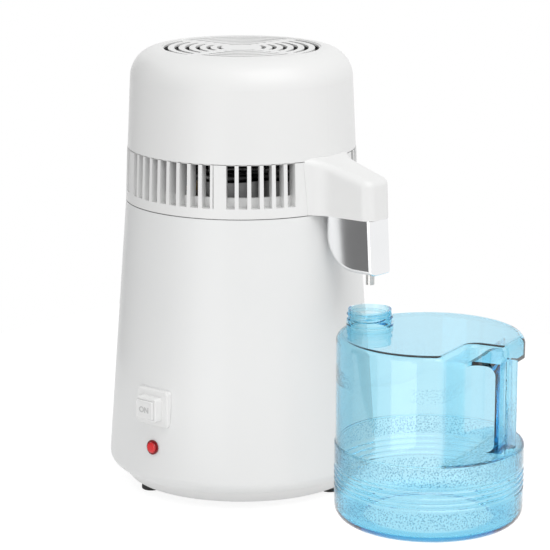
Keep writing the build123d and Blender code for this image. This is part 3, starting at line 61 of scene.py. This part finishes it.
# %% Camera
sensor_width = 36.0
focal_length = 163.0
camera_place = Vector((1.3251, -1.4980, 0.6332))
camera_heading = math.radians(40.72)
camera_dip = math.radians(13.02)
camera_data = bpy.data.cameras.new("studio_camera")
camera_data.lens = focal_length
camera_data.sensor_width = sensor_width
camera = bpy.data.objects.new("studio_camera", camera_data)
bpy.context.scene.collection.objects.link(camera)
camera.location = camera_place
camera.rotation_euler = (math.radians(90.0) - camera_dip, 0.0, camera_heading)
bpy.context.scene.camera = camera
bpy.context.scene.view_settings.view_transform = "Standard"
print("camera", [round(v, 3) for v in camera_place], "lens", focal_length)

# %% [markdown]
# ## Shader arithmetic
# A finish is a small sum: grain times a strength, plus a cloud of wear. Drawn by hand that is a tangle of
# Math nodes, so one class wraps a node's output and lets Python's own signs add those nodes. Every other
# node comes from one method, which takes the settings first and then what goes into the sockets.


# %% Wires and finishes
class Wire:
    """One node output; signs between wires and numbers add the Math nodes that work them out."""

    def __init__(self, finish, socket):
        self.finish = finish
        self.socket = socket

    def work(self, operation, first, second):
        return self.finish.node("ShaderNodeMath", {"operation": operation}, {0: first, 1: second})

    def __add__(self, other):
        return self.work("ADD", self, other)

    def __sub__(self, other):
        return self.work("SUBTRACT", self, other)

    def __rsub__(self, other):
        return self.work("SUBTRACT", other, self)

    def __mul__(self, other):
        return self.work("MULTIPLY", self, other)

    def __gt__(self, other):
        return self.work("GREATER_THAN", self, other)

    __radd__ = __add__
    __rmul__ = __mul__


class Finish:
    """A node tree that ends in one shader, with one method that adds any node to it."""

    def __init__(self, name, tree=None):
        self.material = None
        if tree is None:
            self.material = bpy.data.materials.new(name)
            self.material.use_nodes = True
            tree = self.material.node_tree
        self.tree = tree
        self.tree.nodes.clear()

    def node(self, kind, settings, sockets, output=0):
        made = self.tree.nodes.new(kind)
        for name, value in settings.items():
            setattr(made, name, value)
        for name, value in sockets.items():
            if isinstance(value, Wire):
                self.tree.links.new(value.socket, made.inputs[name])
            else:
                made.inputs[name].default_value = value
        return Wire(self, made.outputs[output]) if made.outputs else None

    def place(self, scale=(1.0, 1.0, 1.0)):
        spot = self.node("ShaderNodeTexCoord", {}, {}, "Object")
        return self.node("ShaderNodeMapping", {}, {"Vector": spot, "Scale": scale})

    def axis(self, name):
        return self.node("ShaderNodeSeparateXYZ", {}, {"Vector": self.place()}, name)

    def noise(self, place, scale, detail=2.0):
        return self.node("ShaderNodeTexNoise", {}, {"Vector": place, "Scale": scale, "Detail": detail})

    def cells(self, place, scale):
        return self.node("ShaderNodeTexVoronoi", {}, {"Vector": place, "Scale": scale}, "Distance")

    def step(self, value, low, high):
        return self.node("ShaderNodeMapRange", {"interpolation_type": "SMOOTHSTEP"},
                         {"Value": value, "From Min": low, "From Max": high})

    def mix(self, factor, low, high):
        return self.node("ShaderNodeMix", {"data_type": "RGBA"}, {0: factor, 6: low, 7: high}, 2)

    def vector(self, operation, first, second, output=0):
        return self.node("ShaderNodeVectorMath", {"operation": operation}, {0: first, 1: second}, output)

    def inside(self):
        """One on faces that look in towards the upright axis or down, nought on the outer faces: the mask
        for painted shade.
        """
        inward_start, inward_full = 0.35, 0.75
        down_start, down_full = 0.5, 0.9
        facing = self.node("ShaderNodeTexCoord", {}, {}, "Normal")
        level = self.vector("MULTIPLY", self.place(), (1.0, 1.0, 0.0))
        outward = self.node("ShaderNodeVectorMath", {"operation": "NORMALIZE"}, {0: level})
        toward_axis = 0.0 - self.vector("DOT_PRODUCT", facing, outward, "Value")
        toward_floor = 0.0 - self.vector("DOT_PRODUCT", facing, (0.0, 0.0, 1.0), "Value")
        inward = self.step(toward_axis, inward_start, inward_full)
        down = self.step(toward_floor, down_start, down_full)
        return inward + down - inward * down

    def bump(self, height, distance):
        return self.node("ShaderNodeBump", {}, {"Distance": distance, "Height": height})

    def surface(self, sockets, depth=None):
        ends = {"Surface": self.node("ShaderNodeBsdfPrincipled", {}, sockets)}
        if depth:
            ends["Volume"] = self.node("ShaderNodeVolumeAbsorption", {}, depth)
        self.node("ShaderNodeOutputMaterial", {}, ends)
        return self.material


finishes = {}
print("shader arithmetic ready")

# %% [markdown]
# ## White enamel and white plastic
# The case is sheet steel under baked enamel, which levels out with a very shallow orange peel. The head,
# the arm and the pan are moulded, and their tool leaves a fine even grain. Both could share one white,
# but the photograph shows the case a little glossier, so each gets its own sum of a wide cloud for colour
# and a fine grain for bump. The vent ring and the dome look black inside the slots, so a third white
# takes painted shade, near black, on the faces that look inwards or down, up to the room of the fan,
# which the light from the top grille reaches. The letters on the button are painted a darker grey than
# the rest, as painted shade that sets off the raised letters.

# %% Whites
cloud_scale = 16.0
cloud_gloss = 0.08
white_grain_depth = 0.03 * mm
white_coat_roughness = 0.14
shade_blend = 0.5 * mm
# Near black painted as shade on the inner faces of the vent ring and the dome.
slot_shade_black = (0.02, 0.02, 0.021, 1.0)


def white_finish(name, low, high, gloss, grain_scale, coat, painted_shade_below=None):
    white = Finish(name)
    cloud = white.noise(white.place(), cloud_scale, 3.0)
    grain = white.noise(white.place(), grain_scale)
    colour = white.mix(cloud, low, high)
    # Painted shade: below the given height, faces that look inwards or down turn near black.
    if painted_shade_below:
        shade_under = 1.0 - white.step(white.axis("Z"), painted_shade_below - shade_blend, painted_shade_below)
        colour = white.mix(shade_under * white.inside(), colour, slot_shade_black)
    finishes[name] = white.surface({
        "Base Color": colour,
        "Roughness": gloss + cloud_gloss * cloud,
        "Normal": white.bump(grain, white_grain_depth),
        "Coat Weight": coat,
        "Coat Roughness": white_coat_roughness,
    })


case_white = ((0.85, 0.86, 0.86, 1.0), (0.88, 0.885, 0.88, 1.0))
head_white = ((0.86, 0.865, 0.86, 1.0), (0.885, 0.885, 0.88, 1.0))
# The darker grey of the letters is painted shade on the raised letters.
letter_shade_grey = ((0.58, 0.585, 0.58, 1.0), (0.62, 0.625, 0.62, 1.0))
peel_scale = 420.0
moulded_scale = 1500.0
fan_room = 30.0 * mm
# The painted shade inside the head stops at this height, below the room of the fan.
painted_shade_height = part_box("dome_cover")[1].z - fan_room
white_finish("white_enamel", *case_white, gloss=0.36, grain_scale=peel_scale, coat=0.12)
white_finish("white_plastic", *head_white, gloss=0.36, grain_scale=moulded_scale, coat=0.10)
white_finish("vented_plastic_painted_shade", *head_white, gloss=0.36, grain_scale=moulded_scale, coat=0.10,
             painted_shade_below=painted_shade_height)
white_finish("letter_painted_shade", *letter_shade_grey, gloss=0.40, grain_scale=moulded_scale, coat=0.10)
print("whites", sorted(finishes))

# %% [markdown]
# ## Metals
# Chrome is a mirror with faint smears. The pot, the lid and the fasteners are brushed, so their grain is
# drawn out along one way by stretching the coordinates before the noise. Aluminium and brass are softer
# and duller. The condenser behind the vents is steel too, drawn nearly black with a few glints: painted
# shade for the dark inside of the head. One recipe with a colour, a gloss and a stretch covers them all.

# %% Metals
smear_scale = 38.0


def metal_finish(name, low, high, gloss, spread, stretch, depth):
    metal = Finish(name)
    lines = metal.noise(metal.place(stretch), 1.0, 4.0)
    smear = metal.noise(metal.place(), smear_scale, 3.0)
    finishes[name] = metal.surface({
        "Base Color": metal.mix(lines, low, high),
        "Metallic": 1.0,
        "Roughness": gloss + spread * (0.5 * lines + 0.5 * smear),
        "Normal": metal.bump(lines, depth),
    })


brushed_depth = 0.01 * mm
metal_finish("chrome", (0.84, 0.85, 0.86, 1.0), (0.90, 0.90, 0.91, 1.0), gloss=0.10, spread=0.08,
             stretch=(30.0, 30.0, 30.0), depth=0.002 * mm)
metal_finish("steel", (0.50, 0.50, 0.49, 1.0), (0.66, 0.65, 0.64, 1.0), gloss=0.22, spread=0.20,
             stretch=(9.0, 9.0, 1400.0), depth=brushed_depth)
metal_finish("aluminium", (0.66, 0.67, 0.68, 1.0), (0.80, 0.80, 0.81, 1.0), gloss=0.30, spread=0.20,
             stretch=(300.0, 300.0, 60.0), depth=brushed_depth)
metal_finish("brass", (0.56, 0.38, 0.13, 1.0), (0.70, 0.50, 0.20, 1.0), gloss=0.28, spread=0.16,
             stretch=(400.0, 60.0, 400.0), depth=brushed_depth)
# Steel painted nearly black as shade for the dark inside of the head.
metal_finish("steel_painted_shade", (0.05, 0.05, 0.05, 1.0), (0.12, 0.12, 0.12, 1.0), gloss=0.26, spread=0.16,
             stretch=(9.0, 9.0, 900.0), depth=brushed_depth)
metal_finish("motor_steel", (0.16, 0.16, 0.17, 1.0), (0.24, 0.24, 0.25, 1.0), gloss=0.34, spread=0.20,
             stretch=(12.0, 12.0, 900.0), depth=brushed_depth)
print("metals", len(finishes))

# %% [markdown]
# ## Black mouldings, rubber and silicone
# The two power inlets are black moulded plastic with a spark-eroded grain, and the fan is a grey one. The
# feet are dull rubber, greyer where they are handled, and the lid seal is pale silicone with a soft
# bloom. They differ by colour, by roughness and by the size of the grain.

# %% Mouldings and rubbers
bloom_scale = 60.0
bloom_gloss = 0.15


def dull_finish(name, low, high, gloss, grain_scale, depth):
    dull = Finish(name)
    grain = dull.cells(dull.place(), grain_scale)
    bloom = dull.noise(dull.place(), bloom_scale, 4.0)
    finishes[name] = dull.surface({
        "Base Color": dull.mix(bloom, low, high),
        "Roughness": gloss + bloom_gloss * bloom,
        "Normal": dull.bump(grain, depth),
    })


dull_finish("black_plastic", (0.012, 0.012, 0.013, 1.0), (0.026, 0.026, 0.027, 1.0),
            gloss=0.38, grain_scale=1600.0, depth=0.05 * mm)
dull_finish("rubber", (0.010, 0.010, 0.010, 1.0), (0.030, 0.030, 0.029, 1.0),
            gloss=0.66, grain_scale=900.0, depth=0.06 * mm)
dull_finish("grey_plastic", (0.44, 0.45, 0.45, 1.0), (0.52, 0.53, 0.53, 1.0),
            gloss=0.40, grain_scale=1600.0, depth=0.05 * mm)
dull_finish("silicone", (0.70, 0.70, 0.67, 1.0), (0.78, 0.78, 0.76, 1.0),
            gloss=0.44, grain_scale=700.0, depth=0.02 * mm)
print("dull finishes", len(finishes))

# %% [markdown]
# ## Woven pieces
# The leads inside the base run in woven glass sleeves and the charcoal sits in a small woven bag. Two
# sets of fine bands that cross, one up and one round, give a weave without any picture: their product is
# high where a thread lies on top.

# %% Weaves
thread_rise = 0.12 * mm
thread_gloss = 0.1


def woven_finish(name, low, high, thread, gloss):
    weave = Finish(name)
    place = weave.place()
    up = weave.node("ShaderNodeTexWave", {"bands_direction": "Z"}, {"Vector": place, "Scale": thread})
    across = weave.node("ShaderNodeTexWave", {"bands_direction": "X"}, {"Vector": place, "Scale": thread}, 1)
    over = up * across
    finishes[name] = weave.surface({
        "Base Color": weave.mix(over, low, high),
        "Roughness": gloss + thread_gloss * over,
        "Normal": weave.bump(over, thread_rise),
    })


woven_finish("lead_sleeve", (0.42, 0.38, 0.33, 1.0), (0.66, 0.62, 0.55, 1.0), thread=220.0, gloss=0.70)
woven_finish("charcoal_bag", (0.02, 0.02, 0.02, 1.0), (0.12, 0.12, 0.12, 1.0), thread=260.0, gloss=0.75)
print("weaves", len(finishes))

# %% [markdown]
# ## Red pilot lens
# The lens is a small clear red button with a lamp behind it. Plain glass would look black here, because
# the holder behind it is dark, so the red is in the body colour, painted lighter in the middle and deep red
# round the rim, as painted light and shade on the dome, under a thin gloss.

# %% Pilot lens
rim_start_share = 0.60
rim_full_share = 0.86
lamp_cloud_scale = 260.0
facet_scale = 420.0
facet_depth = 0.04 * mm
dim_red = (0.72, 0.012, 0.018, 1.0)
bright_red = (0.84, 0.030, 0.034, 1.0)
# Deep red painted as shade round the rim of the lens.
rim_shade_red = (0.24, 0.004, 0.007, 1.0)
lens_low, lens_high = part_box("pilot_lens")
lens_middle = (lens_low + lens_high) / 2
lens_radius = (lens_high.x - lens_low.x) / 2
red = Finish("red_lens")
lamp_cloud = red.noise(red.place(), lamp_cloud_scale)
on_front = red.vector("MULTIPLY", red.place(), (1.0, 0.0, 1.0))
from_middle = red.vector("DISTANCE", on_front, (lens_middle.x, 0.0, lens_middle.z), "Value")
# Painted shade: the red deepens from the middle of the lens towards its rim.
rim_shade = red.step(from_middle, rim_start_share * lens_radius, rim_full_share * lens_radius)
lit_red = red.mix(lamp_cloud, dim_red, bright_red)
finishes["red_lens"] = red.surface({
    "Base Color": red.mix(rim_shade, lit_red, rim_shade_red),
    "Roughness": 0.16 + 0.08 * lamp_cloud,
    "Normal": red.bump(red.cells(red.place(), facet_scale), facet_depth),
    "Coat Weight": 0.12,
    "Coat Roughness": 0.05,
})
print("pilot lens radius", round(lens_radius / mm, 2), "mm")

# %% [markdown]
# ## Clear blue jug
# The jug is blown from clear plastic tinted light blue. The wall is a real wall in the CAD, so light that
# passes through is tinted by the length of its way in the plastic, and the blue deepens by itself where
# the wall is seen edge on. Full glass would bend the view behind each rounded edge into black lines. A
# thin wall hardly bends it, so the body bends light a little and a clear coat gives the gloss. Bands of
# stipple run round it under and over the ridges, a short one below the shoulder and one on the outside of
# the handle; the moulded grain there is bump and small dark specks.

# %% Clear blue
jug_turn = math.radians(13.4)
stipple_scale = 600.0
speck_full, speck_none = 0.20, 0.48
patch_scale = 18.0
patch_start, patch_full = 0.35, 0.75
ripple_scale = 40.0
grip_start, grip_full = 66.0 * mm, 68.0 * mm
grain_depth = 0.6 * mm
pale_clear = (0.94, 0.98, 0.99, 1.0)
full_clear = (0.97, 0.99, 1.0, 1.0)
speck_blue = (0.20, 0.42, 0.56, 1.0)
jug_low, jug_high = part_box("collection_jug")
jug_middle = (jug_low + jug_high) / 2
blue = Finish("blue_jug")
height = blue.axis("Z")
from_axis = blue.vector("SUBTRACT", blue.place(), (jug_middle.x, jug_middle.y, 0.0))
outward = blue.vector("DOT_PRODUCT", from_axis, (math.cos(jug_turn), math.sin(jug_turn), 0.0), "Value")


def band(start, full, fading, end):
    """One between two heights given in millimetres, nought elsewhere, with soft edges."""
    return blue.step(height, start * mm, full * mm) - blue.step(height, fading * mm, end * mm)


stipple = blue.cells(blue.place(), stipple_scale)
specks = 1.0 - blue.step(stipple, speck_full, speck_none)
patches = blue.step(blue.noise(blue.place((1.0, 1.0, 0.1)), patch_scale, 1.0), patch_start, patch_full)
low_band = band(12.0, 13.5, 25.5, 26.5)
mid_band = band(46.5, 47.5, 61.5, 62.5)
top_band = patches * band(112.0, 113.0, 124.0, 125.0)
grip_band = blue.step(outward, grip_start, grip_full) * band(66.0, 68.0, 96.0, 111.0)
bands = low_band + mid_band + top_band + grip_band
ripple = blue.noise(blue.place((1.0, 1.0, 0.3)), ripple_scale)
clear_tint = blue.mix(ripple, pale_clear, full_clear)
finishes["blue_jug"] = blue.surface({
    "Base Color": blue.mix(0.85 * bands * specks, clear_tint, speck_blue),
    "Roughness": 0.02 + 0.10 * bands,
    "Normal": blue.bump(0.12 * ripple + 0.4 * bands * stipple, grain_depth),
    "Transmission Weight": 1.0,
    "IOR": 1.10,
    "Coat Weight": 1.0,
    "Coat Roughness": 0.03,
}, {"Color": (0.10, 0.72, 0.88, 1.0), "Density": 165.0})
print("jug finish ready")

# %% [markdown]
# ## Which node wears which finish
# The imported record already names a material slot for every node, and its imported material carries that
# name. So each node takes the finish of that name, apart from the few whose looks in the photograph
# differ from the rest of their slot. Clear plastic passes most of the light, but the renderer would give
# it a solid shadow and a strong blue cast, so the jug gives neither to the white case.

# %% Dressing the nodes
# The vent ring and the dome take white with painted shade inside, and the lid plate, the condenser coil and
# its fins take steel painted nearly black as shade.
other_finish = {
    "vent_ring": "vented_plastic_painted_shade",
    "dome_cover": "vented_plastic_painted_shade",
    "lid_plate": "steel_painted_shade",
    "condenser_coil": "steel_painted_shade",
    "coil_fins": "steel_painted_shade",
}
for node_name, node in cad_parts.items():
    slot_name = node.data.materials[0].name.split(".")[0]
    node.data.materials[0] = finishes[other_finish.get(node_name, slot_name)]
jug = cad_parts["collection_jug"]
jug.visible_shadow = False
jug.visible_diffuse = False
print("dressed", len(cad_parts), "nodes in", len(finishes), "finishes")

# %% [markdown]
# ## The push button
# The button is a rounded block with a shallow dished face and ON raised in it. The CAD solid is the plain
# block that the joint moves. Text could be cut into it with a Boolean, but a block that is bevelled,
# inset and pushed in keeps clean faces, so it starts from a cube of the solid's own size. The letters are
# made from text, turned to a mesh and stood in the dish, so that nothing is prouder than the solid.


# %% Button block
def only(piece):
    bpy.ops.object.select_all(action="DESELECT")
    piece.select_set(True)
    bpy.context.view_layer.objects.active = piece


def choose_edges(piece, wanted):
    """Select the edges for which wanted(first point, second point) is true, ready for edit mode."""
    bpy.ops.object.mode_set(mode="EDIT")
    bpy.ops.mesh.select_mode(type="EDGE")
    bpy.ops.mesh.select_all(action="DESELECT")
    bpy.ops.object.mode_set(mode="OBJECT")
    points = [v.co for v in piece.data.vertices]
    for edge in piece.data.edges:
        edge.select = wanted(points[edge.vertices[0]], points[edge.vertices[1]])
    bpy.ops.object.mode_set(mode="EDIT")


button_low, button_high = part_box("on_button")
button_middle = (button_low + button_high) / 2
button_corner = 1.4 * mm
button_edge = 0.4 * mm
rim_width = 0.4 * mm
dish_depth = 0.4 * mm
near = 0.001 * mm

bpy.ops.object.select_all(action="DESELECT")
bpy.ops.mesh.primitive_cube_add(size=1.0, location=button_middle, scale=button_high - button_low)
button = bpy.context.active_object
button.name = "marked_button"
only(button)
bpy.ops.object.transform_apply(location=True, rotation=True, scale=True)
choose_edges(button, lambda a, b: abs(a.x - b.x) < near and abs(a.z - b.z) < near)
bpy.ops.mesh.bevel(offset=button_corner, segments=6)
bpy.ops.object.mode_set(mode="OBJECT")
choose_edges(button, lambda a, b: max(a.y, b.y) < button_low.y + near)
bpy.ops.mesh.bevel(offset=button_edge, segments=3)
bpy.ops.object.mode_set(mode="OBJECT")
bpy.ops.object.mode_set(mode="EDIT")
bpy.ops.mesh.select_mode(type="FACE")
bpy.ops.mesh.select_all(action="DESELECT")
bpy.ops.object.mode_set(mode="OBJECT")
front = min(button.data.polygons, key=lambda face: (round(face.normal.y, 3), -face.area))
front.select = True
bpy.ops.object.mode_set(mode="EDIT")
bpy.ops.mesh.inset(thickness=rim_width, depth=0.0)
bpy.ops.mesh.inset(thickness=dish_depth / 2, depth=-dish_depth)
bpy.ops.object.mode_set(mode="OBJECT")
button.data.materials.append(finishes["white_plastic"])
print("button block", len(button.data.polygons), "faces")

# %% Raised letters
letter_size = 6.6 * mm
letter_rise = 0.36 * mm
letter_weight = 0.12 * mm
letter_lift = 0.02 * mm
smooth_angle = math.radians(35.0)

bpy.ops.object.select_all(action="DESELECT")
bpy.ops.object.text_add()
letters = bpy.context.active_object
letters.data.body = "ON"
letters.data.align_x = "CENTER"
letters.data.align_y = "CENTER"
letters.data.size = letter_size
letters.data.extrude = letter_rise / 2
letters.data.offset = letter_weight
bpy.ops.object.convert(target="MESH")
letters = bpy.context.active_object
letters.rotation_euler = (math.radians(90.0), 0.0, 0.0)
# The letters wear the darker grey painted as shade.
letters.data.materials.append(finishes["letter_painted_shade"])
letter_depth = dish_depth - letter_rise / 2 + letter_lift
letters.location = (button_middle.x, button_low.y + letter_depth, button_middle.z)
bpy.ops.object.transform_apply(location=True, rotation=True, scale=True)
bpy.ops.object.select_all(action="DESELECT")
letters.select_set(True)
button.select_set(True)
bpy.context.view_layer.objects.active = button
bpy.ops.object.join()
bpy.ops.object.shade_smooth_by_angle(angle=smooth_angle)
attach(button, "button")
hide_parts("on_button")
print("button with its letters", len(button.data.polygons), "faces")

# %% [markdown]
# ## Floor and light
# The photograph has a plain white ground and soft light from the upper right. A shadow needs a floor that
# takes light, and a white ground needs a floor that looks white, so the floor mixes the two: rays from
# the camera, from gloss and through the jug see it mostly as plain white with the shadow left in it. The
# sheet ends a little way in front, so that the walls of the jug and of the spout mirror the panels below
# its edge.

# %% Studio floor and sky
floor_drop = 0.2 * mm
floor_low = Vector((-0.50, -0.30))
floor_high = Vector((0.80, 0.55))
floor_corner = 0.12
paper_grey = (0.86, 0.86, 0.86, 1.0)
plain_white = (1.0, 1.0, 1.0, 1.0)
glow_level = 1.25
glow_share = 0.7
sky_light_level = 0.60
sky_shown_more = 0.40
object_middle = Vector((0.07, 0.0, 0.16))
floor_middle = (floor_low + floor_high) / 2
bpy.ops.object.select_all(action="DESELECT")
bpy.ops.mesh.primitive_plane_add(size=1.0, location=(floor_middle.x, floor_middle.y, -floor_drop))
floor = bpy.context.active_object
floor.name = "studio_floor"
floor.scale = (floor_high.x - floor_low.x, floor_high.y - floor_low.y, 1.0)
bpy.ops.object.transform_apply(location=True, rotation=True, scale=True)
bpy.ops.object.mode_set(mode="EDIT")
bpy.ops.mesh.select_all(action="SELECT")
bpy.ops.mesh.bevel(offset=floor_corner, segments=12, affect="VERTICES")
bpy.ops.object.mode_set(mode="OBJECT")


def shown_rays(finish):
    """One for rays from the camera, from gloss and through clear plastic, nought for the rest."""
    kinds = ("Is Camera Ray", "Is Glossy Ray", "Is Transmission Ray")
    seen, mirrored, through = [finish.node("ShaderNodeLightPath", {}, {}, kind) for kind in kinds]
    return seen + mirrored + through > 0.5


ground = Finish("studio_ground")
paper = ground.node("ShaderNodeBsdfDiffuse", {}, {"Color": paper_grey})
glow = ground.node("ShaderNodeEmission", {}, {"Color": plain_white, "Strength": glow_level})
lit_paper = ground.node("ShaderNodeMixShader", {}, {0: glow_share * shown_rays(ground), 1: paper, 2: glow})
ground.node("ShaderNodeOutputMaterial", {}, {"Surface": lit_paper})
floor.data.materials.append(ground.material)

world = bpy.data.worlds.new("studio_sky")
bpy.context.scene.world = world
world.use_nodes = True
sky = Finish("studio_sky", world.node_tree)
sky_level = sky_light_level + sky_shown_more * shown_rays(sky)
sky_light = sky.node("ShaderNodeBackground", {}, {"Color": plain_white, "Strength": sky_level})
sky.node("ShaderNodeOutputWorld", {}, {"Surface": sky_light})
print("floor", [round(v, 2) for v in floor_high - floor_low])

# %% [markdown]
# ## Panels of light and one dark card
# A large panel high on the right is the main light and a smaller one on the left gives the jug its pale
# upright reflection. Chrome only looks like metal when it has something dark to reflect, so a dark card
# stands to the left, where the side of the spout sees it. The camera and the soft light on the white
# walls don't.


# %% Panels and card
def toward(heading, rise):
    turn, tilt = math.radians(heading), math.radians(rise)
    return Vector((math.sin(turn) * math.cos(tilt), -math.cos(turn) * math.cos(tilt), math.sin(tilt)))


def add_panel(name, heading, rise, distance, width, tall, level):
    """A flat light aimed at the object; level is what a white card facing it would show."""
    away = toward(heading, rise)
    data = bpy.data.lights.new(name, "AREA")
    data.shape = "RECTANGLE"
    data.size = width
    data.size_y = tall
    data.energy = level * (math.pi * distance) ** 2
    panel = bpy.data.objects.new(name, data)
    bpy.context.scene.collection.objects.link(panel)
    panel.location = object_middle + away * distance
    panel.rotation_euler = away.to_track_quat("Z", "Y").to_euler()


add_panel("key_panel", heading=80.0, rise=54.0, distance=2.0, width=1.6, tall=1.6, level=0.42)
add_panel("jug_panel", heading=9.0, rise=-6.0, distance=2.0, width=1.1, tall=1.4, level=0.18)

card_size = 2.2
card_distance = 1.3
card_away = toward(heading=-66.0, rise=-4.0)
felt_scale = 300.0
bpy.ops.object.select_all(action="DESELECT")
bpy.ops.mesh.primitive_plane_add(size=card_size, location=object_middle + card_away * card_distance,
                                 rotation=card_away.to_track_quat("Z", "Y").to_euler())
card = bpy.context.active_object
card.name = "dark_card"
card.visible_camera = False
card.visible_diffuse = False
felt = Finish("dark_felt")
felt_grain = felt.noise(felt.place(), felt_scale, 3.0)
card.data.materials.append(felt.surface({
    "Base Color": felt.mix(felt_grain, (0.18, 0.18, 0.18, 1.0), (0.22, 0.22, 0.22, 1.0)),
    "Roughness": 0.9,
}))
print("two panels and a dark card")
